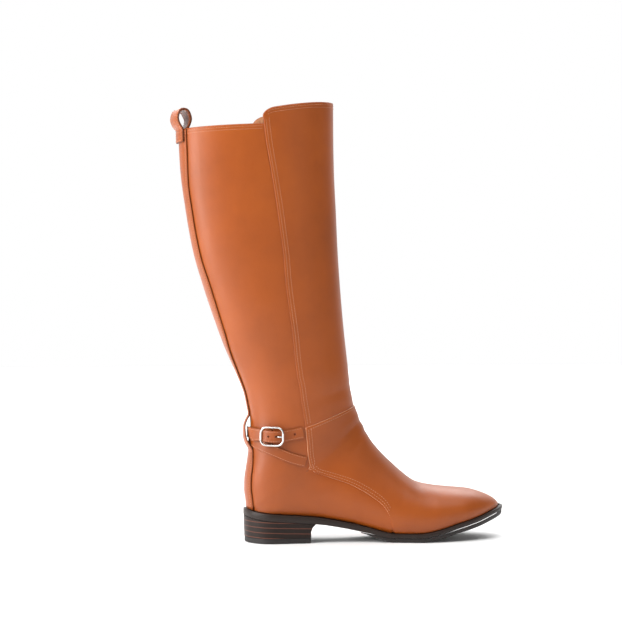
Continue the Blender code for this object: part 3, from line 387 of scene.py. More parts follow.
def half_width(x, inset, toe_inset=None, heel_inset=None):
    """Half the width of the sole's outline, drawn in by the insets at its sides, toe and heel."""
    toe_inset = inset if toe_inset is None else toe_inset
    heel_inset = inset if heel_inset is None else heel_inset
    share = length_share(x)
    half = SOLE_PLAN.read("of_heel", share) * HEEL_WIDTH / 2
    half += SOLE_PLAN.read("of_ball", share) * BALL_WIDTH / 2
    heel = rounded((x - HEEL_BACK - heel_inset) / (HEEL_ROUNDING - heel_inset))
    toe = rounded((TOE_TIP - toe_inset - x) / (TOE_ROUNDING - toe_inset))
    return (half - inset) * heel * toe


def middle(x):
    """How far the sole's middle lies towards the inner side."""
    return SOLE_PLAN.read("inward", length_share(x)) * BALL_WIDTH


def plate_under(x):
    share = length_share(x)
    ball = TREAD_THICKNESS + CLEARANCE
    heel = SOLE_SIDE.read("heel", share) * (HEEL_HEIGHT - ball)
    return ball + heel + SOLE_SIDE.read("toe", share) * TOE_SPRING


def plate_top(x):
    return plate_under(x) + SOLE_SIDE.read("plate", length_share(x)) * PLATE_THICKNESS


def tread_under(x):
    return plate_under(x) - CLEARANCE - SOLE_SIDE.read("tread", length_share(x)) * TREAD_THICKNESS


def seat(x):
    """The height of the upper's lower edge."""
    return plate_top(x) + SEAT_CLEARANCE


HEEL_SEAT = float(seat(UPPER_BACK))
PIVOT_X = float(UPPER_BACK + LEG_SIDE.read("forward", 0) * SOLE_LENGTH + PIVOT_REACH)
PIVOT_X += float(LEG_SIDE.read("depth", 0) * TOP_DEPTH)
PIVOT_Z = INSTEP_HEIGHT + PIVOT_RISE


def back_line(z):
    """The x of the upper's back at this height."""
    if z < INSTEP_HEIGHT:
        forward = HEEL_SIDE.read("forward", (z - HEEL_SEAT) / (INSTEP_HEIGHT - HEEL_SEAT))
    else:
        forward = LEG_SIDE.read("forward", (z - INSTEP_HEIGHT) / (SHAFT_HEIGHT - INSTEP_HEIGHT))
    return float(UPPER_BACK + forward * SOLE_LENGTH)


def shin_line(z):
    """The x of the shaft's front at this height."""
    depth = LEG_SIDE.read("depth", (z - INSTEP_HEIGHT) / (SHAFT_HEIGHT - INSTEP_HEIGHT))
    return back_line(z) + float(depth) * TOP_DEPTH


def foot_line(x):
    """The height of the foot's top line at this x."""
    throat = shin_line(INSTEP_HEIGHT)
    full = INSTEP_HEIGHT - plate_top(throat)
    height = INSTEP_SIDE.read("height", (x - throat) / (UPPER_TOE - throat)) * full
    return float(seat(x) + height * rounded((UPPER_TOE - x) / TOE_BOX_ROUNDING, 1.8))


def front_point(s):
    """The front outline: s from 0 over the pivot's foot to 1 at the instep and 2 at the pivot's level."""
    if s < 1:
        x = PIVOT_X + s * (shin_line(INSTEP_HEIGHT) - PIVOT_X)
        return x, foot_line(x)
    z = INSTEP_HEIGHT + (s - 1) * PIVOT_RISE
    return shin_line(z), z


def back_point(s):
    """The lower outline: s from 0 below the pivot to 1 at the heel's back and 2 at the pivot's level."""
    if s < 1:
        x = PIVOT_X + s * (UPPER_BACK - PIVOT_X)
        return x, float(seat(x))
    z = HEEL_SEAT + (s - 1) * (PIVOT_Z - HEEL_SEAT)
    return back_line(z), z


def fan_angle(point):
    """The angle of a point round the pivot, from 0 straight below it to a right angle straight behind."""
    return math.atan2(PIVOT_X - point[0], PIVOT_Z - point[1])


def on_fan(outline, angle):
    """Where the fan's line at this angle meets an outline, by halving."""
    low, high = 0.0, 2.0
    for _ in range(40):
        s = (low + high) / 2
        if fan_angle(outline(s)) < angle:
            low = s
        else:
            high = s
    return outline(low)


HEEL_Q = 1 + fan_angle((UPPER_BACK, HEEL_SEAT)) / (math.pi / 2)

Section = namedtuple("Section", "back front closed outer inner")
HALF_STEPS = 90


def half_section(length, reach, base, widest, front, back):
    """One side of a section: how far along and how far out, and the share of its own length at each place."""
    ratio = min(base / reach, 0.985)
    full = widest / (1 - ratio**back) ** (1 / back)
    turn = np.linspace(math.asin(min(1.0, (widest / full) ** (back / 2))), 0, HALF_STEPS)
    along = widest - full * np.sin(turn) ** (2 / back)
    out = reach * np.cos(turn) ** (2 / back)
    turn = np.linspace(0, math.pi / 2, HALF_STEPS)[1:]
    along = np.append(along, widest + (1 - widest) * np.sin(turn) ** (2 / front))
    out = np.append(out, reach * np.maximum(np.cos(turn), 0) ** (2 / front))
    share = np.append(0, np.cumsum(np.hypot(np.diff(along) * length, np.diff(out))))
    return along, out, share / share[-1], share[-1]


@lru_cache(maxsize=None)
def section(q):
    if q <= 1:
        x = UPPER_TOE + q * (PIVOT_X - UPPER_TOE)
        back, front = (x, float(seat(x))), (x, foot_line(x))
    elif q <= 2:
        angle = (q - 1) * math.pi / 2
        back, front = on_fan(back_point, angle), on_fan(front_point, angle)
    else:
        z = PIVOT_Z + (q - 2) * (SHAFT_HEIGHT - PIVOT_Z)
        back, front = (back_line(z), z), (shin_line(z), z)
    closed = q >= HEEL_Q
    base = 0.0 if closed else float(half_width(back[0], RIM, TOE_RIM, UPPER_BACK - HEEL_BACK))
    base_middle = middle(back[0])
    read = {name: float(SECTIONS.read(name, q)) for name in SECTIONS.columns}
    widest = read["of_ball"] * BALL_WIDTH / 2 + read["of_top"] * TOP_WIDTH / 2
    ridge = read["ridge"] * BALL_WIDTH
    length = math.dist(back, front)
    sides = []
    for side in (-1, 1):
        base_out = 0.0 if closed else max(base + side * (base_middle - ridge), 0.0)
        reach = max(widest + side * (read["inward"] * BALL_WIDTH - ridge), 1.03 * base_out)
        shape = (read["widest"], read["front"], read["back"])
        along, out, share, total = half_section(length, reach, base_out, *shape)
        sides.append((along, ridge + side * out, share, total))
    return Section(back, front, closed, *sides)


def side_of(cut, v):
    """The section's own half for this v, where -0.0 is on the outer side."""
    return cut.outer if math.copysign(1, v) < 0 else cut.inner


def base_point(q, v):
    """A point of the upper's surface without its steps."""
    if q == 0:
        return np.array((UPPER_TOE, middle(UPPER_TOE), seat(UPPER_TOE)))
    if abs(v) > 1:
        v = math.copysign(2 - abs(v), -v)
    cut = section(q)
    along, y, share, _ = side_of(cut, v)
    t = np.interp(abs(v), share, along)
    x = cut.back[0] + t * (cut.front[0] - cut.back[0])
    z = cut.back[1] + t * (cut.front[1] - cut.back[1])
    return np.array((x, np.interp(abs(v), share, y), z))


NUDGE = 0.004
TOE_NORMAL = np.array((0.97, 0.0, 0.24))


def outward(q, v):
    """The unit vector out of the upper's surface."""
    if q < 1e-3:
        return TOE_NORMAL
    low, high = v - NUDGE, v + NUDGE
    if q < HEEL_Q and abs(v) < NUDGE:
        low, high = (0.0, 2 * NUDGE) if math.copysign(1, v) > 0 else (-2 * NUDGE, -0.0)
    step = min(NUDGE, q / 2)
    before, after = max(q - step, 0), min(q + step, 3)
    across = base_point(q, high) - base_point(q, low)
    along = base_point(after, v) - base_point(before, v)
    normal = np.cross(along, across)
    size = np.linalg.norm(normal)
    if size < 1e-12:
        return TOE_NORMAL
    return normal / size


def surface(q, v, lift=0.0):
    """A point this far outside the upper's surface."""
    return base_point(q, v) + lift * outward(q, v)


def v_along(q, along, side):
    """The v of a place along the section, on the outer side (-1) or the inner side (1)."""
    places, _, share, _ = side_of(section(q), side)
    return side * float(np.interp(along, places, share))


def locate(x, z, side):
    """The q and v of the point that the side view shows at (x, z)."""
    if z > PIVOT_Z:
        q = 2 + (z - PIVOT_Z) / (SHAFT_HEIGHT - PIVOT_Z)
    elif x < PIVOT_X:
        q = 1 + fan_angle((x, z)) / (math.pi / 2)
    else:
        q = (UPPER_TOE - x) / (UPPER_TOE - PIVOT_X)
    back, front = section(q).back, section(q).front
    return q, v_along(q, math.dist(back, (x, z)) / math.dist(back, front), side)


def edge_v(q, side):
    """The v of the panel's edge."""
    if q < PANEL_EDGE.key[0]:
        return side * LEAST_EDGE_V
    return side * max(abs(v_along(q, float(PANEL_EDGE.read("along", q)), side)), LEAST_EDGE_V)


def collar_height(x, in_front):
    """The collar's height at this x, on the rear panel or on the front one."""
    back, front = back_line(SHAFT_HEIGHT), shin_line(SHAFT_HEIGHT)
    share = (x - back) / (front - back)
    if not in_front:
        return SHAFT_HEIGHT - REAR_COLLAR_DROP + 2 * share * REAR_COLLAR_RISE
    edge = float(PANEL_EDGE.read("along", 3))
    past = (share - edge) / (1 - edge)
    shoulder = rounded(past / PANEL_SHOULDER_WIDTH)
    low = SHAFT_HEIGHT - PANEL_CORNER_DROP
    high = SHAFT_HEIGHT - PANEL_SHOULDER_DROP * (1 - past) ** 1.5 if past < 1 else SHAFT_HEIGHT
    return low + float(shoulder) * (high - low)


def smooth_line(points, count):
    """Points along a smooth curve through the given ones."""
    points = np.array(points, float)
    ends = np.vstack((2 * points[0] - points[1], points, 2 * points[-1] - points[-2]))
    places = np.linspace(0, len(points) - 1, count)
    at = np.minimum(places.astype(int), len(points) - 2)
    u = (places - at)[:, None]
    before, start, end, after = (ends[at + i] for i in range(4))
    return 0.5 * (
        2 * start
        + (end - before) * u
        + (2 * before - 5 * start + 4 * end - after) * u**2
        + (3 * start - before - 3 * end + after) * u**3
    )


def unit(vector):
    return vector / np.linalg.norm(vector)


def offset_line(line, distance):
    """A side line of (along, out) points moved out by a distance."""
    forward = np.gradient(np.array(line), axis=0)
    forward /= np.linalg.norm(forward, axis=1)[:, None]
    return line + distance * np.stack((-forward[:, 1], forward[:, 0]), axis=1)


def surface_steps(q, v, sideways):
    """The changes of q and v that move a point of the surface by this vector."""
    by_q = (base_point(q + NUDGE, v) - base_point(q - NUDGE, v)) / (2 * NUDGE)
    by_v = (base_point(q, v + NUDGE) - base_point(q, v - NUDGE)) / (2 * NUDGE)
    return np.linalg.lstsq(np.stack((by_q, by_v), axis=1), sideways, rcond=None)[0]


class StrapLine:
    """A strap's centre line round the back, with the distance from the back along it. It is below 0 on the
    outer side."""

    def __init__(self, name):
        self.name = name
        self.v = np.linspace(-0.54, 0.54, 73)
        points = np.array([base_point(self.q_at(v), v) for v in self.v])
        run = np.append(0, np.cumsum(np.linalg.norm(np.diff(points, axis=0), axis=1)))
        self.run = run - np.interp(0, self.v, run)

    def q_at(self, v):
        return float(STRAP_LINES.read(self.name, abs(v)))

    def along(self, v):
        return float(np.interp(v, self.v, self.run))

    def frame(self, along):
        """The centre point's q and v, and the directions along the strap, across it and outwards."""
        v = float(np.interp(along, self.run, self.v))
        normal = outward(self.q_at(v), v)
        before, after = (base_point(self.q_at(v + step), v + step) for step in (-NUDGE, NUDGE))
        forward = after - before
        forward = unit(forward - normal * (forward @ normal))
        across = np.cross(normal, forward)
        return self.q_at(v), v, forward, across * math.copysign(1, across[2]), normal

    def place(self, along, across, out):
        """A point of the strap. Its place across the strap is found on the upper's own surface."""
        q, v, _, sideways, _ = self.frame(along)
        steps = surface_steps(q, v, across * sideways)
        return surface(q + steps[0], v + steps[1], out)


ANKLE_MIDDLE = CLEARANCE + ANKLE_STRAP_THICKNESS / 2
CHAPE_LOW_MIDDLE = CLEARANCE + CHAPE_THICKNESS / 2
CHAPE_HIGH_MIDDLE = 2 * CLEARANCE + ANKLE_STRAP_THICKNESS + CHAPE_THICKNESS / 2
TIP_MIDDLE = CHAPE_HIGH_MIDDLE + CHAPE_THICKNESS / 2 + 1.6 * CLEARANCE + STRAP_THICKNESS / 2
SIDE_BAR_LIFT = TIP_MIDDLE + STRAP_THICKNESS / 2 + 2 * CLEARANCE + BUCKLE_WIRE / 2
FOLD_RADIUS = BUCKLE_BAR / 2 + CLEARANCE + CHAPE_THICKNESS / 2
APART_V = 0.36
SEAM_GAP = 0.0022


def seam_along(line, side):
    """Where a strap ends, just short of the panel's edge."""
    vs = [v for v in line.v if v * side > 0 and abs(v) < abs(edge_v(line.q_at(v), side))]
    end = max(vs, key=abs)
    return line.along(end) - side * SEAM_GAP


# The buckle strap's middle from its tip to the seam: how far past the buckle's centre bar, as a share of half
# the buckle's width, and how far out it lies between its lowest and the level of its tip.
STRAP_WEAVE = Table(
    ("past", "level"),
    (-STRAP_TIP_REACH, 1.00),
    (-0.84, 1.00),
    (-0.55, 1.40),
    (-0.28, 1.62),
    (0.00, 1.70),
    (0.28, 1.62),
    (0.55, 1.20),
    (0.84, 0.70),
    (1.35, 0.20),
    (1.70, 0.02),
    (2.70, 0.00),
)

# The strap's holes: how far past the centre bar, by the same measure, and how long they are.
HOLES = ((-0.21, STRAP_HOLE), (0.45, PRONG_HOLE), (1.74, STRAP_HOLE))


class BuckleFrame:
    """The plane that touches the upper under the buckle's centre bar."""

    def __init__(self, line):
        q, v, forward, across, normal = line.frame(line.along(BUCKLE_V))
        self.origin = base_point(q, v)
        self.toward_seam = -forward
        self.up = across
        self.out = normal

    def point(self, past, up, out):
        return self.origin + past * self.toward_seam + up * self.up + out * self.out


def keeper_lift(z):
    """How far the backstay stands off, over the straps."""
    middle_z = (KEEPER_LOW + KEEPER_HIGH) / 2
    share = abs(z - middle_z) / (KEEPER_HIGH - KEEPER_LOW) * 2
    return KEEPER_RISE * float(np.clip(1.06 - share**2.4, 0, 1)) if share < 1.02 else 0.0


def q_of_back(z):
    """The q of the back at this height."""
    return locate(back_line(z) + 1e-6, z, 1)[0]


@lru_cache(maxsize=None)
def seat_run(side):
    """Places along the upper's lower edge from the heel's back: their q, and the distance to each."""
    qs = np.linspace(HEEL_Q, HEEL_Q - HEEL_STATION_GAP, 25)
    points = np.array([base_point(q, side * 0.0) for q in qs])
    return qs, np.append(0, np.cumsum(np.linalg.norm(np.diff(points, axis=0), axis=1)))


def seat_place(across, out):
    """A point over the upper's lower edge, this far round the heel to the inner side."""
    side = -1 if across < 0 else 1
    qs, run = seat_run(side)
    point = surface(float(np.interp(abs(across), run, qs)), side * 0.0, out)
    point[2] = max(point[2], float(seat(point[0])))
    return point


# The fine surface.


class Skin:
    """The upper's surface and its normals, read between the places of a fine lattice."""

    def __init__(self):
        toe = np.linspace(0, 1, 70) ** 1.7
        fan = np.linspace(1, 2, 130)
        self.q = np.unique(np.concatenate((toe, fan, np.linspace(2, 3, 60), [HEEL_Q, VAMP_SEAM_Q])))
        self.v = np.linspace(0, 1, 151)
        self.points, self.normals = {}, {}
        for side in (-1, 1):
            grid = np.empty((len(self.q), len(self.v), 3))
            for i, q in enumerate(self.q):
                cut = section(max(q, 1e-5))
                along, y, share, _ = side_of(cut, side)
                t = np.interp(self.v, share, along)
                grid[i, :, 0] = cut.back[0] + t * (cut.front[0] - cut.back[0])
                grid[i, :, 1] = np.interp(self.v, share, y)
                grid[i, :, 2] = cut.back[1] + t * (cut.front[1] - cut.back[1])
            by_q = np.gradient(grid, self.q, axis=0)
            by_v = side * np.gradient(grid, self.v, axis=1)
            normal = np.cross(by_q, by_v)
            size = np.linalg.norm(normal, axis=2, keepdims=True)
            self.normals[side] = np.where(size > 1e-9, normal / np.maximum(size, 1e-9), TOE_NORMAL)
            self.points[side] = grid
        front = self.normals[-1][:, -1] + self.normals[1][:, -1]
        back = self.normals[-1][:, 0] + self.normals[1][:, 0]
        closed = self.q >= HEEL_Q
        for side in (-1, 1):
            self.normals[side][:, -1] = front / np.linalg.norm(front, axis=1, keepdims=True)
            self.normals[side][closed, 0] = (back / np.linalg.norm(back, axis=1, keepdims=True))[closed]

    def at(self, q, v, lift=0.0):
        """The points this far outside the surface, for arrays of q, v and lift."""
        q, v, lift = (np.atleast_1d(np.asarray(each, float)) for each in (q, v, lift))
        q, v, lift = np.broadcast_arrays(q, v, lift)
        side = np.where(np.signbit(v), -1, 1)
        depth = np.abs(v)
        side = np.where(depth > 1, -side, side)
        depth = np.where(depth > 1, 2 - depth, depth)
        q = np.clip(q, 0, 3)
        i = np.clip(np.searchsorted(self.q, q, side="right") - 1, 0, len(self.q) - 2)
        a = ((q - self.q[i]) / (self.q[i + 1] - self.q[i]))[:, None]
        place = depth * (len(self.v) - 1)
        j = np.clip(place.astype(int), 0, len(self.v) - 2)
        b = (place - j)[:, None]
        made = np.empty((len(q), 3))
        for one in (-1, 1):
            own = side == one
            points, normals = self.points[one], self.normals[one]
            blend = [
                (1 - a) * ((1 - b) * grid[i, j] + b * grid[i, j + 1])
                + a * ((1 - b) * grid[i + 1, j] + b * grid[i + 1, j + 1])
                for grid in (points, normals)
            ]
            normal = blend[1] / np.linalg.norm(blend[1], axis=1, keepdims=True)
            made[own] = (blend[0] + lift[:, None] * normal)[own]
        return made


skin = Skin()


def edge_of(q):
    """The panel's edge at each q, as the size of its v on the outer side and on the inner one."""
    keys = np.linspace(PANEL_EDGE.key[0], 3, 120)
    sizes = np.array([[abs(edge_v(key, side)) for key in keys] for side in (-1, 1)])
    sizes[:, 0] = 0
    return np.array([np.interp(q, keys, sizes[i], left=0) for i in (0, 1)])


EDGE_KEYS = np.linspace(0, 3, 901)
EDGE_SIZES = edge_of(EDGE_KEYS)


def panel_edge(q, side):
    """The size of v at the panel's edge, for arrays of q and side."""
    return np.where(side < 0, np.interp(q, EDGE_KEYS, EDGE_SIZES[0]), np.interp(q, EDGE_KEYS, EDGE_SIZES[1]))


def collar_of(v, in_front):
    """The q of the collar's edge at each v."""
    xs = skin.at(np.full(len(v), 2.97), v)[:, 0]
    heights = np.array([collar_height(x, in_front) for x in xs])
    return 2 + (heights - PIVOT_Z) / (SHAFT_HEIGHT - PIVOT_Z)


def up_to_collar(q, v, in_front, drop=0.0):
    """Spreads the leg's places up to the collar, or to a little below it."""
    top = collar_of(v, in_front) - drop / (SHAFT_HEIGHT - PIVOT_Z)
    return np.where(q > 2, 2 + (q - 2) * (top - 2), q)


# Soft creases of the worn leather: where they lie, how long and wide they are, and how deep.
CREASES = (
    # q, v, half length in v, half width in q, depth
    (1.560, 0.93, 0.20, 0.018, -0.00045),
    (1.610, 0.95, 0.22, 0.020, 0.00040),
    (1.655, 0.94, 0.20, 0.017, -0.00040),
    (1.700, 0.90, 0.16, 0.020, 0.00030),
    (1.090, 0.80, 0.30, 0.025, -0.00022),
    (1.180, 0.78, 0.28, 0.030, 0.00020),
    (1.900, 0.72, 0.22, 0.035, -0.00050),
    (2.020, 0.76, 0.20, 0.040, 0.00045),
    (2.100, 0.30, 0.16, 0.050, -0.00045),
    (2.260, 0.36, 0.18, 0.060, 0.00040),
)


def crease_lift(q, v):
    lift = np.zeros_like(q)
    for at_q, at_v, long, wide, depth in CREASES:
        lean = 0.10 * (np.abs(v) - at_v)
        reach = np.exp(-(((np.abs(v) - at_v) / long) ** 2)) * np.exp(-(((q - at_q - lean) / wide) ** 2))
        lift = lift + depth * reach * np.where(np.signbit(v), 1.0, 0.8)
    return lift


# Mesh helpers.


def mapped_grid(bm, columns, rows, place):
    """Adds a grid and puts each of its vertices where place says, from its u and w between -1 and 1."""
    made = bmesh.ops.create_grid(bm, x_segments=columns, y_segments=rows, size=1)["verts"]
    places = np.array([vertex.co[:2] for vertex in made])
    for vertex, point in zip(made, place(places[:, 0], places[:, 1])):
        vertex.co = point


def mesh_of(name, bm):
    mesh = bpy.data.meshes.new(name)
    bm.to_mesh(mesh)
    bm.free()
    return mesh


def add_object(name, data):
    made = bpy.data.objects.new(name, data)
    bpy.context.scene.collection.objects.link(made)
    return made


def finish_piece(name, bm, materials, replaces=(), merge=2e-6, smooth=40):
    """Closes the seams, turns the faces outwards and hangs the piece under the root body."""
    bmesh.ops.remove_doubles(bm, verts=bm.verts, dist=merge)
    bmesh.ops.recalc_face_normals(bm, faces=bm.faces)
    centre = sum((face.calc_center_median() for face in bm.faces), Vector()) / len(bm.faces)
    facing = ((face, face.calc_center_median() - centre) for face in bm.faces)
    if sum(face.normal.dot(away) * face.calc_area() for face, away in facing) < 0:
        bmesh.ops.reverse_faces(bm, faces=bm.faces)
    mesh = mesh_of(name, bm)
    for each in materials:
        mesh.materials.append(finishes()[each])
    mesh.shade_smooth()
    mesh.set_sharp_from_angle(angle=math.radians(smooth))
    piece = add_object(name, mesh)
    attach(piece, "root")
    if replaces:
        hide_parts(*replaces)
    return piece


STRAP_FINISHES = ("strap leather", "cut edge")


def thicken(piece, thickness, offset=-1.0, rim=True, bevel=0.0):
    """Gives a sheet its thickness, with its cut edge in the second finish, and rounds the edge."""
    solid = piece.modifiers.new("thickness", "SOLIDIFY")
    solid.thickness = thickness
    solid.offset = offset
    solid.material_offset_rim = 1 if rim and len(piece.data.materials) > 1 else 0
    if bevel:
        round_edge = piece.modifiers.new("edge", "BEVEL")
        round_edge.width = bevel
        round_edge.segments = 2
        round_edge.limit_method = "ANGLE"
        round_edge.angle_limit = math.radians(50)
    return piece


# Materials.


def new_material(name):
    made = bpy.data.materials.new(name)
    made.use_nodes = True
    return made, made.node_tree.nodes, made.node_tree.links, made.node_tree.nodes["Principled BSDF"]


def add_noise(nodes, links, scale, detail, rough=0.5, stretch=None):
    """A noise over the object's own place, stretched where asked."""
    where = nodes.new("ShaderNodeTexCoord")
    noise = nodes.new("ShaderNodeTexNoise")
    noise.inputs["Scale"].default_value = scale
    noise.inputs["Detail"].default_value = detail
    noise.inputs["Roughness"].default_value = rough
    source = where.outputs["Object"]
    if stretch:
        mapping = nodes.new("ShaderNodeMapping")
        mapping.inputs["Scale"].default_value = stretch
        links.new(source, mapping.inputs["Vector"])
        source = mapping.outputs["Vector"]
    links.new(source, noise.inputs["Vector"])
    return noise.outputs["Fac"]


def add_ramp(nodes, links, source, stops):
    ramp = nodes.new("ShaderNodeValToRGB")
    elements = ramp.color_ramp.elements
    while len(elements) < len(stops):
        elements.new(0.5)
    for element, (place, colour) in zip(elements, stops):
        element.position = place
        element.color = (*colour, 1)
    links.new(source, ramp.inputs["Fac"])
    return ramp.outputs["Color"]


def add_bump(nodes, links, shader, layers):
    """Bumps laid over each other, each from a height, its strength and its depth."""
    below = None
    for height, strength, depth in layers:
        bump = nodes.new("ShaderNodeBump")
        bump.inputs["Strength"].default_value = strength
        bump.inputs["Distance"].default_value = depth
        links.new(height, bump.inputs["Height"])
        if below:
            links.new(below, bump.inputs["Normal"])
        below = bump.outputs["Normal"]
    links.new(below, shader.inputs["Normal"])


def shade(colour, share):
    return tuple(min(1.0, channel * share) for channel in colour)


def leather(name, colour, rough=0.42, mottle=0.16, grain=0.00012, coat=0.16):
    """Smooth dyed leather: a cloudy dye, fine pores and soft wrinkles."""
    made, nodes, links, shader = new_material(name)
    cloud = add_noise(nodes, links, 14, 5, 0.6)
    warm = (colour[0] * (1 + mottle * 0.7), colour[1] * (1 + mottle), colour[2] * (1 + mottle))
    tone = add_ramp(nodes, links, cloud, ((0.30, shade(colour, 1 - mottle)), (0.52, colour), (0.74, warm)))
    links.new(tone, shader.inputs["Base Color"])
    wear = add_noise(nodes, links, 60, 6, 0.65)
    mapped = nodes.new("ShaderNodeMapRange")
    mapped.inputs["To Min"].default_value = rough - 0.07
    mapped.inputs["To Max"].default_value = rough + 0.08
    links.new(wear, mapped.inputs["Value"])
    links.new(mapped.outputs["Result"], shader.inputs["Roughness"])
    cells = nodes.new("ShaderNodeTexVoronoi")
    cells.inputs["Scale"].default_value = 1100
    where = nodes.new("ShaderNodeTexCoord")
    links.new(where.outputs["Object"], cells.inputs["Vector"])
    wrinkles = add_noise(nodes, links, 210, 4, 0.6, (1, 1, 0.6))
    add_bump(nodes, links, shader, ((wrinkles, 0.35, grain * 3), (cells.outputs["Distance"], 0.30, grain)))
    shader.inputs["Coat Weight"].default_value = coat
    shader.inputs["Coat Roughness"].default_value = 0.36
    shader.inputs["Specular IOR Level"].default_value = 0.36
    shader.inputs["Sheen Weight"].default_value = 0.02
    shader.inputs["Sheen Roughness"].default_value = 0.45
    shader.inputs["Sheen Tint"].default_value = (1.0, 0.78, 0.66, 1)
    return made


def plain(name, colour, rough, noise_scale=90, spread=0.25, depth=0.0001, metallic=0.0):
    """A plain finish with a little unevenness in tone and surface."""
    made, nodes, links, shader = new_material(name)
    cloud = add_noise(nodes, links, noise_scale, 5, 0.6)
    tone = add_ramp(nodes, links, cloud, ((0.3, shade(colour, 1 - spread)), (0.7, shade(colour, 1 + spread))))
    links.new(tone, shader.inputs["Base Color"])
    shader.inputs["Roughness"].default_value = rough
    shader.inputs["Metallic"].default_value = metallic
    fine = add_noise(nodes, links, noise_scale * 8, 3)
    add_bump(nodes, links, shader, ((fine, 0.3, depth),))
    return made


HEEL_JOIN_COLOUR = (0.13, 0.045, 0.028)
HEEL_LAYER = 0.0052
HEEL_LAYER_SLOPE = 0.035


def stacked_heel(name, dark, line, spacing, slope):
    """Layers of dark leather, with thin reddish joins between them."""
    made, nodes, links, shader = new_material(name)
    where = nodes.new("ShaderNodeTexCoord")
    split = nodes.new("ShaderNodeSeparateXYZ")
    links.new(where.outputs["Object"], split.inputs["Vector"])

    def math_node(operation, first, second):
        node = nodes.new("ShaderNodeMath")
        node.operation = operation
        for socket, value in zip(node.inputs, (first, second)):
            if isinstance(value, float):
                socket.default_value = value
            else:
                links.new(value, socket)
        return node.outputs["Value"]

    wobble = math_node("MULTIPLY", add_noise(nodes, links, 120, 3), 0.0007)
    height = math_node("ADD", split.outputs["Z"], math_node("MULTIPLY", split.outputs["X"], slope))
    height = math_node("SUBTRACT", math_node("ADD", height, wobble), TOP_LIFT_THICKNESS + 0.0006)
    join = math_node("FRACT", math_node("DIVIDE", height, spacing), 0.0)
    near = math_node("ABSOLUTE", math_node("SUBTRACT", join, 0.5), 0.0)
    tone = add_ramp(nodes, links, near, ((0.40, dark), (0.475, line)))
    links.new(tone, shader.inputs["Base Color"])
    shader.inputs["Roughness"].default_value = 0.45
    shader.inputs["Specular IOR Level"].default_value = 0.25
    grain = add_noise(nodes, links, 500, 4, 0.6, (1, 1, 5))
    add_bump(nodes, links, shader, ((near, -0.25, 0.0002), (grain, 0.25, 0.0001)))
    return made


def metal(name):
    """Polished silver-coloured metal with faint hairlines."""
    made, nodes, links, shader = new_material(name)
    cloud = add_noise(nodes, links, 700, 3)
    tone = add_ramp(nodes, links, cloud, ((0.3, (0.62, 0.62, 0.61)), (0.7, (0.78, 0.78, 0.76))))
    links.new(tone, shader.inputs["Base Color"])
    shader.inputs["Metallic"].default_value = 1.0
    shader.inputs["Roughness"].default_value = 0.16
    add_bump(nodes, links, shader, ((cloud, 0.08, 0.00005),))
    return made


def finishes():
    """The boot's finishes by name, each made once."""
    if "tan leather" not in bpy.data.materials:
        colours = bpy.context.scene.boot_colours
        tan, sole = tuple(colours.leather), tuple(colours.sole)
        leather("tan leather", tan)
        leather("strap leather", shade(tan, 0.93), 0.40)
        plain("cut edge", shade(tan, 0.42), 0.6, 300)
        # pale finish for the vamp's cut edge: a painted highlight along its rim
        plain("edge with painted highlight", (0.66, 0.36, 0.20), 0.6, 300)
        leather("lining", tuple(colours.lining), 0.62, 0.10, 0.00006, 0.0)
        plain("thread", tuple(colours.thread), 0.55, 900, 0.12, 0.00005)
        leather("sole edge", sole, 0.46, 0.25, 0.00010, 0.0)
        plain("tread", shade(sole, 0.55), 0.55, 160, 0.3, 0.0002)
        stacked_heel("heel stack", shade(sole, 0.9), HEEL_JOIN_COLOUR, HEEL_LAYER, HEEL_LAYER_SLOPE)
        plain("lift", (0.012, 0.009, 0.008), 0.6, 240, 0.3, 0.0002)
        metal("polished metal")
    return bpy.data.materials


# Stitches.

STITCH_STEP = 0.0026
STITCH_LENGTH = 0.0019
STITCH_WIDTH = 0.00056


def stitch_rows(name, rows, width=STITCH_WIDTH):
    """Sewn rows as one piece: each row gives its points and the direction out of the leather at each."""
    template = bmesh.new()
    bmesh.ops.create_uvsphere(template, u_segments=6, v_segments=5, radius=0.5)
    corners = np.array([vertex.co for vertex in template.verts])
    faces = [[vertex.index for vertex in face.verts] for face in template.faces]
    template.free()
    corners = corners[:, [2, 0, 1]] * np.array((STITCH_LENGTH, width, width * 0.75))
    points, quads = [], []
    for line, normals in rows:
        run = np.append(0, np.cumsum(np.linalg.norm(np.diff(line, axis=0), axis=1)))
        count = max(1, int(run[-1] / STITCH_STEP))
        for at in (np.arange(count) + 0.5) * run[-1] / count:
            near = (at - 4e-4, at, at + 4e-4)
            ends = [np.array([np.interp(each, run, line[:, k]) for k in range(3)]) for each in near]
            out = unit(np.array([np.interp(at, run, normals[:, k]) for k in range(3)]))
            forward = unit(ends[2] - ends[0])
            sideways = unit(np.cross(out, forward))
            out = np.cross(forward, sideways)
            place = corners @ np.stack((forward, sideways, out)) + ends[1] + out * width * 0.12
            quads += [[len(points) + corner for corner in face] for face in faces]
            points += list(place)
    mesh = bpy.data.meshes.new(name)
    mesh.from_pydata([tuple(point) for point in points], [], quads)
    mesh.materials.append(finishes()["thread"])
    mesh.shade_smooth()
    piece = add_object(name, mesh)
    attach(piece, "root")
    return piece


def row_on(points, w, share, level):
    """A row on a band, this far out from its middle, or in where level is below 0."""
    w, share = np.broadcast_arrays(w, share)
    face = points(w, share, level)
    return face, points(w, share, level + math.copysign(0.001, level or 1)) - face


def skin_row(q, v, lift):
    """A row's points and normals on the upper."""
    return skin.at(q, v, lift), skin.at(q, v, 1.0) - skin.at(q, v, 0.0)


# Pieces.


def front_v(u, edge):
    """v across the front, from the edge on the outer side (u -1) to the edge on the inner side (1)."""
    return np.copysign(1 - np.abs(u) * (1 - edge), u)


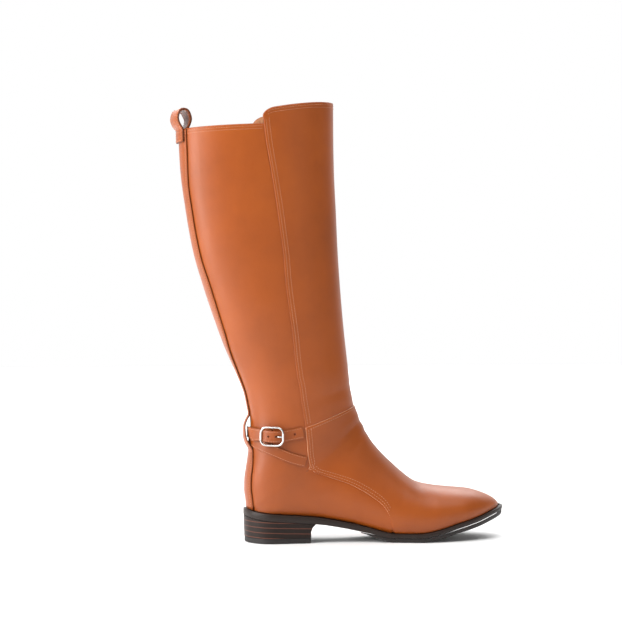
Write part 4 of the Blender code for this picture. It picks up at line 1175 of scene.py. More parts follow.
def make_vamp():
    bm = bmesh.new()

    def place(u, w):
        share = (w + 1) / 2
        q = VAMP_SEAM_Q * np.where(share < 0.5, 2.05 * share**1.9, 0)
        low = 2.05 * 0.5**1.9
        q = np.where(share >= 0.5, VAMP_SEAM_Q * (low + (share - 0.5) * 2 * (1 - low)), q)
        edge = panel_edge(q, u)
        v = front_v(u, edge)
        points = skin.at(q, v, VAMP_STEP + crease_lift(q, v))
        lowest = seat(points[:, 0])
        points[:, 2] = np.maximum(points[:, 2], lowest)
        return points

    mapped_grid(bm, 160, 190, place)
    # the vamp's rim takes the pale finish, a painted highlight along its cut edge
    piece = finish_piece("vamp", bm, ("tan leather", "edge with painted highlight"), ("upper",))
    return thicken(piece, VAMP_STEP + 0.0007)


def make_front_panel():
    bm = bmesh.new()

    def place(u, w):
        u = np.sign(u) * np.abs(u) ** 0.8
        q = VAMP_SEAM_Q - 0.02 + (w + 1) / 2 * (3 - VAMP_SEAM_Q + 0.02)
        v = front_v(u, panel_edge(q, u))
        own = up_to_collar(q, v, True)
        lift = np.where(q < VAMP_SEAM_Q, PANEL_STEP * 0.6, PANEL_STEP)
        return skin.at(own, v, lift + crease_lift(own, v))

    mapped_grid(bm, 150, 200, place)
    piece = finish_piece("front_panel", bm, ("tan leather", "cut edge"))
    return thicken(piece, PANEL_STEP + 0.0006)


def make_rear_panel():
    bm = bmesh.new()
    columns, under = 60, 0.012

    def leg(u, w):
        q = HEEL_Q + (w + 1) / 2 * (3 - HEEL_Q)
        v = u * (panel_edge(q, u) + under)
        own = up_to_collar(q, v, False)
        return skin.at(own, v, crease_lift(own, v))

    def flap(side):
        def place(u, w):
            start = PANEL_EDGE.key[0] + 0.01
            q = start + (w + 1) / 2 * (HEEL_Q - start)
            v = side * (u + 1) / 2 * (panel_edge(q, np.full(len(q), side)) + under)
            v = np.copysign(v, side)
            points = skin.at(q, v, 0.0)
            points[:, 2] = np.maximum(points[:, 2], seat(points[:, 0]))
            return points

        return place

    mapped_grid(bm, 2 * columns, 230, leg)
    for side in (-1, 1):
        mapped_grid(bm, columns, 60, flap(side))
    piece = finish_piece("rear_panel", bm, ("tan leather", "cut edge"))
    return thicken(piece, 0.0008)


def make_lining():
    bm = bmesh.new()

    def place(u, w):
        q = 0.02 + (w + 1) / 2 * 2.98
        v = front_v(u, 0.0)
        in_front = np.abs(v) > panel_edge(q, u)
        own = np.where(in_front, up_to_collar(q, v, True, 0.0006), up_to_collar(q, v, False, 0.0006))
        points = skin.at(own, v, -0.0010)
        points[:, 2] = np.maximum(points[:, 2], seat(points[:, 0]) + 0.0002)
        return points

    mapped_grid(bm, 160, 150, place)
    piece = finish_piece("lining", bm, ("lining", "lining"))
    return thicken(piece, 0.0006)


def backstay_shape(z):
    """The backstay's q, half width, shift to the inner side and stand-off at this height."""
    q = q_of_back(z)
    half = float(BACKSTAY_PLAN.read("half", q)) * BACKSTAY_WIDTH
    shift = -float(BACKSTAY_PLAN.read("outward", q)) * BACKSTAY_WIDTH
    return q, half, shift, 1.6 * CLEARANCE + keeper_lift(z)


def backstay_heights(count=150):
    collar = collar_height(back_line(SHAFT_HEIGHT), False) - BACKSTAY_TOP_DROP
    return np.linspace(HEEL_SEAT, collar, count + 1)


BACKSTAY_ROWS = [backstay_shape(z) for z in backstay_heights()]


def on_back(q, across, lift):
    """Points over the back of the upper, each this far to the inner side of its middle line."""
    lengths = {side: np.array([side_of(section(float(each)), side)[3] for each in q]) for side in (-1, 1)}
    total = np.where(across < 0, lengths[-1], lengths[1])
    return skin.at(q, across / total, lift)


def backstay_points(w, share, more=0.0):
    """Points of the backstay's outer face, up it by w and across it by share, both from -1 to 1."""
    at = (w + 1) / 2 * (len(BACKSTAY_ROWS) - 1)
    rows = np.array(BACKSTAY_ROWS)
    q, half, shift, lift = (np.interp(at, np.arange(len(rows)), rows[:, k]) for k in range(4))
    across = shift + share * half
    rounding = 0.0003 * np.maximum(0, (np.abs(share) - 0.85) / 0.15) ** 2
    points = on_back(np.round(q, 4), across, lift + BACKSTAY_THICKNESS - rounding + more)
    low = at < 1e-6
    if low.any():
        points[low] = [seat_place(a, lift[0] + BACKSTAY_THICKNESS + more) for a in across[low]]
    return points


def make_backstay():
    bm = bmesh.new()
    mapped_grid(bm, 16, len(BACKSTAY_ROWS) - 1, lambda u, w: backstay_points(w, u))
    piece = finish_piece("backstay_leather", bm, STRAP_FINISHES, ("backstay",))
    thicken(piece, BACKSTAY_THICKNESS)
    w = np.linspace(-0.985, 0.985, 400)
    stitch_rows("backstay_stitches", [row_on(backstay_points, w, share, 0.0) for share in (-0.84, 0.84)])
    return piece


def make_pull_loop():
    collar = collar_height(back_line(SHAFT_HEIGHT), False)
    outer_leg = 3 * CLEARANCE + BACKSTAY_THICKNESS + LOOP_THICKNESS / 2
    inner_leg = -WALL - 2 * CLEARANCE - LOOP_THICKNESS / 2
    ring = LOOP_REACH - LOOP_THICKNESS / 2
    top = LOOP_HEIGHT - LOOP_THICKNESS / 2
    path = [
        (inner_leg, -LOOP_LEG),
        (inner_leg, -0.4 * LOOP_LEG),
        (inner_leg, 0.0),
        (-0.80 * ring, 0.25 * top),
        (-ring, 0.55 * top),
        (-0.62 * ring, 0.90 * top),
        (0, top),
        (0.62 * ring, 0.90 * top),
        (ring, 0.55 * top),
        (0.85 * ring, 0.25 * top),
        (outer_leg, 0.0),
        (outer_leg, -0.4 * LOOP_LEG),
        (outer_leg, -LOOP_LEG),
    ]
    line = smooth_line(path, 91)
    q_top = q_of_back(collar)
    flat_out = np.array((-math.cos(LOOP_TURN), -math.sin(LOOP_TURN), 0))
    flat_across = np.array((-math.sin(LOOP_TURN), math.cos(LOOP_TURN), 0))
    centre = on_back(np.array([q_top]), np.array([LOOP_SHIFT]), 0.0)[0]

    def points(w, share, more=0.0):
        at = (w + 1) / 2 * (len(line) - 1)
        rows = offset_line(line, more)
        out, up = (np.interp(at, np.arange(len(line)), rows[:, k]) for k in (0, 1))
        across = share * LOOP_WIDTH / 2
        q = np.where(up < 0, 2 + (collar + up - PIVOT_Z) / (SHAFT_HEIGHT - PIVOT_Z), q_top)
        near = on_back(np.round(q, 4), LOOP_SHIFT + across, out)
        flat = centre + out[:, None] * flat_out + across[:, None] * flat_across
        blend = (np.clip(up / top, 0, 1) ** 0.7)[:, None]
        made = near + blend * (flat - near)
        made[:, 2] = np.where(up < 0, near[:, 2], centre[2] + up)
        return made

    bm = bmesh.new()
    mapped_grid(bm, 12, len(line) - 1, lambda u, w: points(w, u))
    piece = finish_piece("loop_leather", bm, STRAP_FINISHES, ("pull_loop",))
    thicken(piece, LOOP_THICKNESS, 0.0, bevel=0.0005)
    up, half = np.linspace(-0.98, 0.98, 160), LOOP_THICKNESS / 2
    rows = [row_on(points, up, share, level) for share in (-0.84, 0.84) for level in (half, -half)]
    across = np.linspace(-0.84, 0.84, 30)
    rows += [row_on(points, w, across, level) for w in (0.97, 0.79) for level in (-half, half)]
    stitch_rows("loop_stitches", rows)
    return piece


class StrapShape:
    """A strap by its centre line: where its middle lies along and out, and its half width at each place."""

    def __init__(self, line, side_line, half, lean=lambda along, across: along):
        self.line, self.side_line, self.lean = line, side_line, lean
        self.half = np.broadcast_to(half, len(side_line)).astype(float)
        frames = [line.frame(along) for along in line.run]
        self.q = np.array([each[0] for each in frames])
        self.v = np.array([each[1] for each in frames])
        self.steps = np.array([surface_steps(q, v, sideways) for q, v, _, sideways, _ in frames])

    def place(self, along, across, out):
        run = self.line.run
        q, v = np.interp(along, run, self.q), np.interp(along, run, self.v)
        by_q, by_v = np.interp(along, run, self.steps[:, 0]), np.interp(along, run, self.steps[:, 1])
        return skin.at(q + across * by_q, v + across * by_v, out)

    def points(self, w, share, more=0.0):
        at = (w + 1) / 2 * (len(self.side_line) - 1)
        rows = offset_line(self.side_line, more)
        index = np.arange(len(rows))
        along, out = (np.interp(at, index, rows[:, k]) for k in (0, 1))
        across = share * np.interp(at, index, self.half)
        return self.place(self.lean(along, across), across, out)


def make_strap(name, shape, thickness, node):
    bm = bmesh.new()
    mapped_grid(bm, 10, 3 * len(shape.side_line), lambda u, w: shape.points(w, u))
    piece = finish_piece(name, bm, STRAP_FINISHES, (node,))
    thicken(piece, thickness * 0.94, 0.0, bevel=0.0003)
    return piece


STRAP_SEAM = 0.76
STRAP_FACE = 0.47


def strap_stitches(shape, thickness, start=-0.98, end=0.98, sign=1):
    """A row along each edge of a strap."""
    w = np.linspace(start, end, 300)
    level = sign * thickness * STRAP_FACE
    return [row_on(shape.points, w, share, level) for share in (-STRAP_SEAM, STRAP_SEAM)]


def make_straps():
    ankle = StrapLine("ankle")
    alongs = np.linspace(seam_along(ankle, -1), seam_along(ankle, 1), 60)
    shape = StrapShape(ankle, np.stack((alongs, np.full(60, ANKLE_MIDDLE)), axis=1), ANKLE_STRAP_WIDTH / 2)
    make_strap("ankle_strap_leather", shape, ANKLE_STRAP_THICKNESS, "ankle_strap")
    rows = strap_stitches(shape, ANKLE_STRAP_THICKNESS)

    line = StrapLine("buckle")
    centre = line.along(BUCKLE_V)
    half_buckle = BUCKLE_WIDTH / 2
    tip, seam = centre + STRAP_TIP_REACH * half_buckle, seam_along(line, -1)
    alongs = np.linspace(seam, tip, 70)
    past = (centre - alongs) / half_buckle
    low = CLEARANCE + STRAP_THICKNESS / 2
    outs = low + STRAP_WEAVE.read("level", past) * (TIP_MIDDLE - low)
    half = (STRAP_WIDTH + np.clip(-past - 0.9, 0, 1) * (STRAP_TIP_WIDTH - STRAP_WIDTH)) / 2

    def lean(along, across):
        share = np.maximum(0.0, (along - centre) / half_buckle - 1) / (STRAP_TIP_REACH - 1)
        return along + share * STRAP_TIP_CUT * across / STRAP_TIP_WIDTH

    shape = StrapShape(line, np.stack((alongs, outs), axis=1), half, lean)
    strap = make_strap("buckle_strap_leather", shape, STRAP_THICKNESS, "buckle_strap")
    rows += strap_stitches(shape, STRAP_THICKNESS, -0.97, 0.93)
    across = np.linspace(-STRAP_SEAM, STRAP_SEAM, 30)
    rows.append(row_on(shape.points, 0.93, across, STRAP_THICKNESS * STRAP_FACE))
    for share, long in HOLES:
        along = centre - share * half_buckle
        out = float(np.interp(along, alongs, outs))
        cut_hole(strap, line, along, out, long)

    lower_lift = BAR_LIFT - FOLD_RADIUS
    last, apart, seam = line.along(-BUCKLE_V), line.along(APART_V), seam_along(line, 1)
    keys = np.array((centre, centre + 0.4 * CHAPE_FOLD, centre + 0.9 * CHAPE_FOLD, last, apart, seam))
    lifts = np.array((lower_lift, 1.2 * lower_lift, *2 * [CHAPE_HIGH_MIDDLE], *2 * [CHAPE_LOW_MIDDLE]))
    alongs = np.linspace(seam, centre, 80)
    lower = [(along, float(monotone(keys, lifts, along))) for along in alongs]
    turn = np.linspace(0, math.pi, 16)[1:]
    over = BAR_LIFT + FOLD_RADIUS
    end_lift = float(monotone(keys, lifts, centre + CHAPE_FOLD)) + CHAPE_THICKNESS + CLEARANCE
    round_bar = [(centre - FOLD_RADIUS * math.sin(a), BAR_LIFT - FOLD_RADIUS * math.cos(a)) for a in turn]
    back = [(centre + s * CHAPE_FOLD, over + (end_lift - over) * s**2) for s in np.linspace(0.1, 1, 8)]
    shape = StrapShape(line, np.array(lower + round_bar + back), CHAPE_WIDTH / 2)
    chape = make_strap("chape_leather", shape, CHAPE_THICKNESS, "chape_strap")
    bm = bmesh.new()
    bmesh.ops.create_cube(bm, size=1)
    buckle = BuckleFrame(line)
    for vertex in bm.verts:
        x, y, z = vertex.co
        past = 0.1 * CHAPE_SLOT_LENGTH + CHAPE_SLOT_LENGTH * x
        vertex.co = buckle.point(past, CHAPE_SLOT * y, BAR_LIFT + 5 * FOLD_RADIUS * z)
    cut_with(chape, bm)
    rows += strap_stitches(shape, CHAPE_THICKNESS, -0.98, 0.45, sign=-1)
    stitch_rows("strap_stitches", rows, 0.0005)


def cut_with(piece, bm):
    """Cuts a closed shape out of a piece, and leaves nothing of the cutter."""
    bmesh.ops.recalc_face_normals(bm, faces=bm.faces)
    if bm.calc_volume(signed=True) < 0:
        bmesh.ops.reverse_faces(bm, faces=bm.faces)
    cutter = add_object(piece.name + "_cutter", mesh_of(piece.name + "_cutter", bm))
    modifier = piece.modifiers.new("cut", "BOOLEAN")
    modifier.operation = "DIFFERENCE"
    modifier.solver = "EXACT"
    modifier.object = cutter
    bpy.context.view_layer.update()
    evaluated = piece.evaluated_get(bpy.context.evaluated_depsgraph_get())
    made = bpy.data.meshes.new_from_object(evaluated)
    piece.modifiers.clear()
    piece.data = made
    bpy.data.objects.remove(cutter)


def cut_hole(strap, line, along, out, long):
    """An oval hole through the strap."""
    _, _, forward, across, normal = line.frame(along)
    centre = line.place(along, 0, out)
    bm = bmesh.new()
    sizes = {"segments": 24, "radius1": 0.5, "radius2": 0.5, "depth": 2.8 * STRAP_THICKNESS}
    bmesh.ops.create_cone(bm, cap_ends=True, **sizes)
    for vertex in bm.verts:
        x, y, z = vertex.co
        vertex.co = centre + x * long * forward + y * STRAP_HOLE * across + z * normal
    cut_with(strap, bm)


def fill_holes(bm):
    bmesh.ops.holes_fill(bm, edges=[edge for edge in bm.edges if edge.is_boundary], sides=0)


def tube(bm, points, radius, flat_normal, closed=False, around=16, ends=False):
    """A round bar along points in a plane, from a grid wrapped round them."""
    points = np.array(points)
    if closed:
        points = np.vstack((points, points[:1]))
    index = np.arange(len(points))
    forward = np.gradient(points, axis=0)
    if closed:
        forward[0] = forward[-1] = points[1] - points[-2]
    forward /= np.linalg.norm(forward, axis=1, keepdims=True)
    sideways = np.cross(flat_normal, forward)
    size = np.ones(len(points))
    if ends:
        size[0] = size[-1] = 0.55

    def place(u, w):
        at = (w + 1) / 2 * (len(index) - 1)
        middle_line = np.stack([np.interp(at, index, points[:, k]) for k in range(3)], axis=1)
        side = np.stack([np.interp(at, index, sideways[:, k]) for k in range(3)], axis=1)
        turn = (u + 1) * math.pi
        reach = (radius * np.interp(at, index, size))[:, None]
        return middle_line + reach * (np.cos(turn)[:, None] * flat_normal + np.sin(turn)[:, None] * side)

    mapped_grid(bm, around, len(index) - 1, place)
    bmesh.ops.remove_doubles(bm, verts=bm.verts, dist=1e-7)
    if not closed:
        fill_holes(bm)


def make_buckle():
    buckle = BuckleFrame(StrapLine("buckle"))
    level = SIDE_BAR_LIFT - SIDE_FALL - BUCKLE_TILT / 2
    reach = (BUCKLE_WIDTH - BUCKLE_WIRE) / 2
    rise = (BUCKLE_HEIGHT - BUCKLE_WIRE) / 2
    corner = BUCKLE_CORNER
    outline = []
    for quarter, (x, y) in enumerate(((1, 1), (-1, 1), (-1, -1), (1, -1))):
        for a in np.linspace(0, math.pi / 2, 14):
            turn = a + quarter * math.pi / 2
            past = x * (reach - corner) + corner * math.cos(turn)
            up = y * (rise - corner) + corner * math.sin(turn)
            outline.append(buckle.point(past, up, level - past / reach * BUCKLE_TILT / 2))
    tilted = unit(np.cross(outline[14] - outline[0], outline[28] - outline[0]))
    bm = bmesh.new()
    tube(bm, outline, BUCKLE_WIRE / 2, tilted, closed=True)
    bar = bmesh.new()
    bend = STRAP_WIDTH / 2
    ups = (-rise, -rise + 0.0004, -bend, 0, bend, rise - 0.0004, rise)
    outs = (level, level, BAR_LIFT, BAR_LIFT, BAR_LIFT, level, level)
    path = smooth_line([(up, out) for up, out in zip(ups, outs)], 40)
    tube(bar, [buckle.point(0, up, out) for up, out in path], BUCKLE_BAR / 2, buckle.toward_seam)
    finish_piece("buckle_ring", bm, ("polished metal",), ("buckle_frame",))
    finish_piece("buckle_bar", bar, ("polished metal",))

    loop_radius = BUCKLE_BAR / 2 + CLEARANCE + PRONG_WIRE / 2
    turns = np.linspace(0, 2 * math.pi, 24, endpoint=False)
    ring = bmesh.new()
    loop = [buckle.point(loop_radius * math.sin(a), 0, BAR_LIFT + loop_radius * math.cos(a)) for a in turns]
    tube(ring, loop, PRONG_WIRE / 2, buckle.up, closed=True)
    rest = SIDE_BAR_LIFT - SIDE_FALL - BUCKLE_TILT + BUCKLE_WIRE / 2 + CLEARANCE + PRONG_WIRE / 2
    start = BAR_LIFT + loop_radius
    half = BUCKLE_WIDTH / 2
    path = [
        (0, start),
        (0.24 * half, start),
        (0.40 * half, start + 0.5 * (rest - start)),
        (0.58 * half, rest + PRONG_WIRE / 4),
        (0.78 * half, rest + PRONG_WIRE / 4),
        (1.04 * half, rest),
    ]
    shaft = bmesh.new()
    path = [buckle.point(past, 0, out) for past, out in smooth_line(path, 40)]
    tube(shaft, path, PRONG_WIRE / 2, buckle.up, ends=True)
    finish_piece("prong_ring", ring, ("polished metal",), ("buckle_prong",))
    finish_piece("prong", shaft, ("polished metal",))


def beside_edge(q, side, inset):
    """The v this far in front of the panel's edge."""
    lengths = np.array([side_of(section(round(float(each), 3)), side)[3] for each in q])
    return side * (panel_edge(q, np.full(len(q), side)) + inset / lengths)


def make_upper_stitches():
    per_metre = 1 / (SHAFT_HEIGHT - PIVOT_Z)
    rows = []
    for drop in (0.0026, 0.0052):
        for side in (-1, 1):
            edge = panel_edge(np.array([2.98]), np.array([side]))[0]
            v = np.copysign(np.linspace(0.06, edge - 0.004, 160), side)
            rows.append(skin_row(collar_of(v, False) - drop * per_metre, v, 0.0))
        v = front_v(np.linspace(-0.955, 0.955, 320), edge)
        own = collar_of(v, True) - drop * per_metre
        rows.append(skin_row(own, v, PANEL_STEP))
    for inset in (0.0026, 0.0056):
        for side in (-1, 1):
            q = np.linspace(VAMP_SEAM_Q + 0.012, 2.975, 420)
            v = beside_edge(q, side, inset)
            rows.append(skin_row(up_to_collar(q, v, True, 0.002), v, PANEL_STEP))
            q = np.linspace(1.235, VAMP_SEAM_Q - 0.012, 320)
            v = beside_edge(q, side, inset)
            rows.append(skin_row(q, v, VAMP_STEP + crease_lift(q, v)))
    edge = panel_edge(np.array([VAMP_SEAM_Q]), np.array([-1]))[0]
    v = front_v(np.linspace(-0.94, 0.94, 300), edge)
    q = np.full(300, VAMP_SEAM_Q - 0.013)
    rows.append(skin_row(q, v, VAMP_STEP + crease_lift(q, v)))
    stitch_rows("upper_stitches", rows)


# The sole.


def slab(name, layers, material, node, stations=150):
    """A layered piece of the sole. Each layer gives (start, end, inset, height at x), from the bottom up."""

    def ring(u, start, end, inset, height):
        turn = (u + 1) * math.pi
        xs = start + (end - start) * (1 - np.cos(turn)) / 2
        heel_inset = start - HEEL_BACK if start - HEEL_BACK < HEEL_ROUNDING / 2 else inset
        toe_inset = TOE_TIP - end if TOE_TIP - end < TOE_ROUNDING / 2 else inset
        half = half_width(xs, inset, toe_inset, heel_inset)
        side = np.where(u < 0, -1.0, 1.0)
        return np.stack((xs, middle(xs) + side * half, height(xs) + 0 * xs), axis=1)

    def place(u, w):
        at = (w + 1) / 2 * (len(layers) - 1)
        low = np.clip(at.astype(int), 0, len(layers) - 2)
        share = (at - low)[:, None]
        made = np.zeros((len(u), 3))
        rings = [ring(u, *layer) for layer in layers]
        for i in range(len(layers) - 1):
            own = low == i
            made[own] = ((1 - share) * rings[i] + share * rings[i + 1])[own]
        return made

    bm = bmesh.new()
    mapped_grid(bm, 2 * stations, 2 * (len(layers) - 1), place)
    bmesh.ops.remove_doubles(bm, verts=bm.verts, dist=1e-7)
    fill_holes(bm)
    caps = [face for face in bm.faces if len(face.verts) > 8]
    bmesh.ops.triangulate(bm, faces=caps, ngon_method="BEAUTY")
    return finish_piece(name, bm, (material,), (node,), smooth=28)


def sole_layer(inset, height, start=None):
    """A layer over the whole sole, or from its own start, drawn in by the inset."""
    start = HEEL_BACK + inset if start is None else start
    return start, TOE_TIP - inset, inset, height


def between(low, high, share):
    """The height at this share of the way between two heights."""
    return lambda x: (1 - share) * low(x) + share * high(x)


def above(height, rise):
    return lambda x: height(x) + rise


def ground(x):
    return 0 * x


def make_sole():
    bevel = EDGE_BEVEL
    draws = ((bevel, 0), (0.3 * bevel, 0.3 * bevel), (0, bevel))
    layers = [sole_layer(inset, above(plate_under, rise)) for inset, rise in draws]
    layers += [sole_layer(inset, above(plate_top, -drop)) for inset, drop in draws[::-1]]
    slab("plate", layers, "sole edge", "midsole")

    tread_top = above(plate_under, -CLEARANCE)
    draws = ((TREAD_ROUNDING, 0), (0.3 * TREAD_ROUNDING, 0.12), (0, 0.38), (0, 1))
    layers = [
        sole_layer(TREAD_INSET + inset, between(tread_under, tread_top, share), TREAD_START)
        for inset, share in draws
    ]
    slab("forefoot_tread", layers, "tread", "outsole")

    foot = above(ground, TOP_LIFT_THICKNESS + CLEARANCE)
    layers = []
    for up, flare in ((0, 0), (0.45, 0), (0.75, 0.3), (1, 1)):
        inset = HEEL_INSET_FOOT + up * (HEEL_INSET_TOP - HEEL_INSET_FOOT)
        breast = HEEL_BREAST + flare * BREAST_FLARE
        layers.append((HEEL_BACK + inset, breast, inset, between(foot, tread_top, up)))
    slab("heel_block", layers, "heel stack", "heel")

    side = HEEL_INSET_FOOT + CLEARANCE
    layers = [
        (HEEL_BACK + side + draw_in, HEEL_BREAST - draw_in, side + draw_in, above(ground, rise))
        for draw_in, rise in ((bevel, 0), (0, bevel), (0, TOP_LIFT_THICKNESS))
    ]
    slab("heel_lift", layers, "lift", "top_lift")

    layers = []
    for rise, draw_in in ((0, 0), (INSOLE_THICKNESS, INSOLE_MARGIN)):
        edge = WALL + INSOLE_MARGIN + draw_in
        height = above(plate_top, 1.6 * CLEARANCE + rise)
        layers.append((UPPER_BACK + edge, UPPER_TOE - edge - INSOLE_MARGIN, RIM + edge, height))
    slab("footbed", layers, "lining", "insole", 90)


# The stage.

CAMERA_DISTANCE = 1.636
CAMERA_TURN = math.radians(-9)
CAMERA_HEIGHT = 0.2336
CAMERA_AIM = 0.034
FOCAL_PIXELS = 1600
FRAME_PIXELS = 622
SENSOR = 36.0
FLOOR_REACH = 30
BACKDROP_AWAY = 5.0
BOOT_MIDDLE = (0.05, 0, 0.22)


def aim(item, target):
    item.rotation_euler = (Vector(target) - item.location).to_track_quat("-Z", "Y").to_euler()


def add_light(name, place, target, energy, size, colour=(1, 1, 1), size_y=None):
    light = bpy.data.lights.new(name, "AREA")
    light.energy = energy
    light.shape = "RECTANGLE"
    light.size = size
    light.size_y = size_y or size
    light.color = colour
    item = add_object(name, light)
    item.location = place
    aim(item, target)


def add_sheet(name, material, place):
    """A square of the stage, with its corners where place says."""
    bm = bmesh.new()
    bmesh.ops.create_grid(bm, x_segments=1, y_segments=1, size=1)
    for vertex in bm.verts:
        vertex.co = place(*vertex.co[:2])
    mesh = mesh_of(name, bm)
    mesh.materials.append(material)
    add_object(name, mesh)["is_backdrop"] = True


def make_stage():
    settings = bpy.context.scene.boot_stage
    scene = bpy.context.scene
    pale, _, _, shader = new_material("pale floor")
    shader.inputs["Base Color"].default_value = (0.93, 0.93, 0.93, 1)
    shader.inputs["Roughness"].default_value = 0.6
    add_sheet("floor", pale, lambda x, y: (FLOOR_REACH * x, FLOOR_REACH * y, 0))
    paper = bpy.data.materials.new("white paper")
    paper.use_nodes = True
    paper_nodes = paper.node_tree.nodes
    paper_nodes.remove(paper_nodes["Principled BSDF"])
    glow = paper_nodes.new("ShaderNodeEmission")
    glow.inputs["Strength"].default_value = settings.paper
    paper.node_tree.links.new(glow.outputs["Emission"], paper_nodes["Material Output"].inputs["Surface"])
    add_sheet("backdrop", paper, lambda x, y: (x * 14, BACKDROP_AWAY, 6.9 + y * 7))
    scene.world = bpy.data.worlds.new("studio")
    scene.world.use_nodes = True
    sky = scene.world.node_tree.nodes["Background"]
    sky.inputs["Color"].default_value = (1, 1, 1, 1)
    sky.inputs["Strength"].default_value = settings.sky
    scene.view_settings.view_transform = "Standard"
    key = settings.key
    add_light("key", (-1.9, -1.1, 1.5), BOOT_MIDDLE, key, 1.5, size_y=1.8)
    add_light("top", (0.3, -0.6, 2.4), (0.1, 0, 0), key * 0.8, 2.0)
    add_light("fill", (1.6, -2.4, 0.9), BOOT_MIDDLE, key * 0.06, 1.2)
    add_light("far", (0, 3.2, 2.6), (0, 3.2, 0), key * 4.0, 5.0, size_y=3.4)
    add_light("side", (-1.5, -0.35, 0.45), (-0.02, 0, 0.2), key * 0.5, 0.5, (1.0, 0.95, 0.93), 1.7)
    camera = bpy.data.cameras.new("camera")
    camera.sensor_width = SENSOR
    camera.lens = FOCAL_PIXELS / FRAME_PIXELS * SENSOR
    scene.camera = add_object("camera", camera)
    away = Vector((math.sin(CAMERA_TURN), -math.cos(CAMERA_TURN), 0)) * CAMERA_DISTANCE
    scene.camera.location = Vector((CAMERA_AIM, 0, CAMERA_HEIGHT)) + away
    aim(scene.camera, (CAMERA_AIM, 0, CAMERA_HEIGHT))


# The add-on.


def colour_property(name, description, default):
    values = {"name": name, "description": description, "default": default}
    return bpy.props.FloatVectorProperty(subtype="COLOR", size=3, **values)


class BootColours(bpy.types.PropertyGroup):
    """The colours of the boot."""

    leather: colour_property("Leather", "Dye of the upper", (0.300, 0.060, 0.0030))
    lining: colour_property("Lining", "Leather inside the shaft", (0.36, 0.15, 0.060))
    thread: colour_property("Thread", "Thread of the seams", (0.46, 0.20, 0.105))
    sole: colour_property("Sole", "Edge of the sole", (0.016, 0.0085, 0.006))


def light_property(name, description, default):
    return bpy.props.FloatProperty(name=name, description=description, default=default, min=0)


class BootStage(bpy.types.PropertyGroup):
    """The lights of the stage."""

    key: light_property("Key light", "Power of the main light", 48.0)
    sky: light_property("Sky", "Strength of the even light", 0.20)
    paper: light_property("Paper", "Brightness of the white backdrop", 1.0)


class BOOT_OT_stage(bpy.types.Operator):
    """Makes the floor, lights and camera."""

    bl_idname = "boot.stage"
    bl_label = "Stage"

    def execute(self, context):
        make_stage()
        return {"FINISHED"}


class BOOT_OT_sole(bpy.types.Operator):
    """Makes the plate, tread, heel, lift and footbed."""

    bl_idname = "boot.sole"
    bl_label = "Sole"

    def execute(self, context):
        make_sole()
        return {"FINISHED"}


class BOOT_OT_vamp(bpy.types.Operator):
    """Makes the vamp."""

    bl_idname = "boot.vamp"
    bl_label = "Vamp"

    def execute(self, context):
        make_vamp()
        return {"FINISHED"}


class BOOT_OT_front_panel(bpy.types.Operator):
    """Makes the shaft's front panel."""

    bl_idname = "boot.front_panel"
    bl_label = "Front panel"

    def execute(self, context):
        make_front_panel()
        return {"FINISHED"}


class BOOT_OT_rear_panel(bpy.types.Operator):
    """Makes the rear panel and the quarters."""

    bl_idname = "boot.rear_panel"
    bl_label = "Rear panel"

    def execute(self, context):
        make_rear_panel()
        return {"FINISHED"}


class BOOT_OT_lining(bpy.types.Operator):
    """Makes the lining."""

    bl_idname = "boot.lining"
    bl_label = "Lining"

    def execute(self, context):
        make_lining()
        return {"FINISHED"}


class BOOT_OT_backstay(bpy.types.Operator):
    """Makes the backstay with its keeper."""

    bl_idname = "boot.backstay"
    bl_label = "Backstay"

    def execute(self, context):
        make_backstay()
        return {"FINISHED"}


class BOOT_OT_pull_loop(bpy.types.Operator):
    """Makes the pull loop."""

    bl_idname = "boot.pull_loop"
    bl_label = "Pull loop"

    def execute(self, context):
        make_pull_loop()
        return {"FINISHED"}


class BOOT_OT_straps(bpy.types.Operator):
    """Makes the three straps with their holes and stitches."""

    bl_idname = "boot.straps"
    bl_label = "Straps"

    def execute(self, context):
        make_straps()
        return {"FINISHED"}


class BOOT_OT_buckle(bpy.types.Operator):
    """Makes the buckle and its prong."""

    bl_idname = "boot.buckle"
    bl_label = "Buckle"

    def execute(self, context):
        make_buckle()
        return {"FINISHED"}


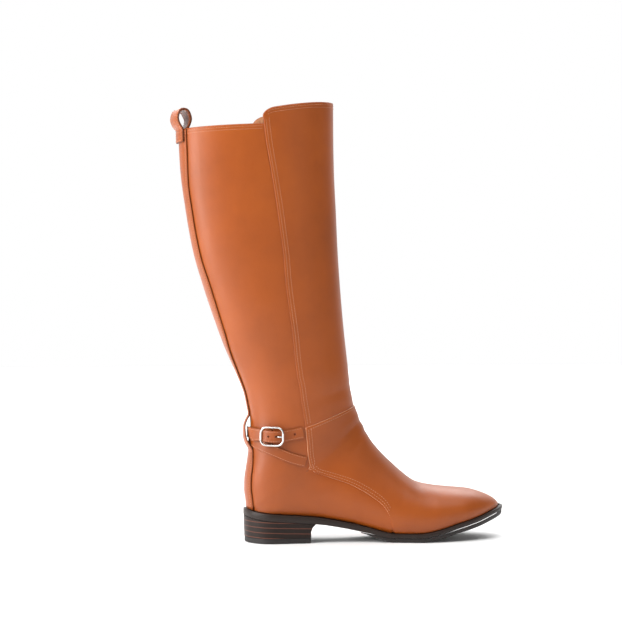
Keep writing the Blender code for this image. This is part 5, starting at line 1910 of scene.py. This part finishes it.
class BOOT_OT_stitches(bpy.types.Operator):
    """Sews the upper's seams."""

    bl_idname = "boot.stitches"
    bl_label = "Stitches"

    def execute(self, context):
        make_upper_stitches()
        return {"FINISHED"}


OPERATORS = (
    BOOT_OT_stage,
    BOOT_OT_sole,
    BOOT_OT_vamp,
    BOOT_OT_front_panel,
    BOOT_OT_rear_panel,
    BOOT_OT_lining,
    BOOT_OT_backstay,
    BOOT_OT_pull_loop,
    BOOT_OT_straps,
    BOOT_OT_buckle,
    BOOT_OT_stitches,
)


class BOOT_PT_panel(bpy.types.Panel):
    """Lists the boot's pieces and settings."""

    bl_label = "Riding boot"
    bl_idname = "BOOT_PT_panel"
    bl_space_type = "VIEW_3D"
    bl_region_type = "UI"
    bl_category = "Boot"

    def draw(self, context):
        for each in ("leather", "lining", "thread", "sole"):
            self.layout.prop(context.scene.boot_colours, each)
        for each in ("key", "sky", "paper"):
            self.layout.prop(context.scene.boot_stage, each)
        for each in OPERATORS:
            self.layout.operator(each.bl_idname)


CLASSES = (BootColours, BootStage, *OPERATORS, BOOT_PT_panel)


def register():
    for each in CLASSES:
        bpy.utils.register_class(each)
    bpy.types.Scene.boot_colours = bpy.props.PointerProperty(type=BootColours)
    bpy.types.Scene.boot_stage = bpy.props.PointerProperty(type=BootStage)


def unregister():
    del bpy.types.Scene.boot_colours
    del bpy.types.Scene.boot_stage
    for each in reversed(CLASSES):
        bpy.utils.unregister_class(each)


def main():
    register()
    bpy.ops.boot.stage()
    bpy.ops.boot.sole()
    bpy.ops.boot.vamp()
    bpy.ops.boot.front_panel()
    bpy.ops.boot.rear_panel()
    bpy.ops.boot.lining()
    bpy.ops.boot.backstay()
    bpy.ops.boot.pull_loop()
    bpy.ops.boot.straps()
    bpy.ops.boot.buckle()
    bpy.ops.boot.stitches()
    bounds = {"cad": CAD_BOUNDS, "scene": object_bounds()}
    bounds = {name: [[float(x) for x in corner] for corner in box] for name, box in bounds.items()}


if __name__ == "__main__":
    main()
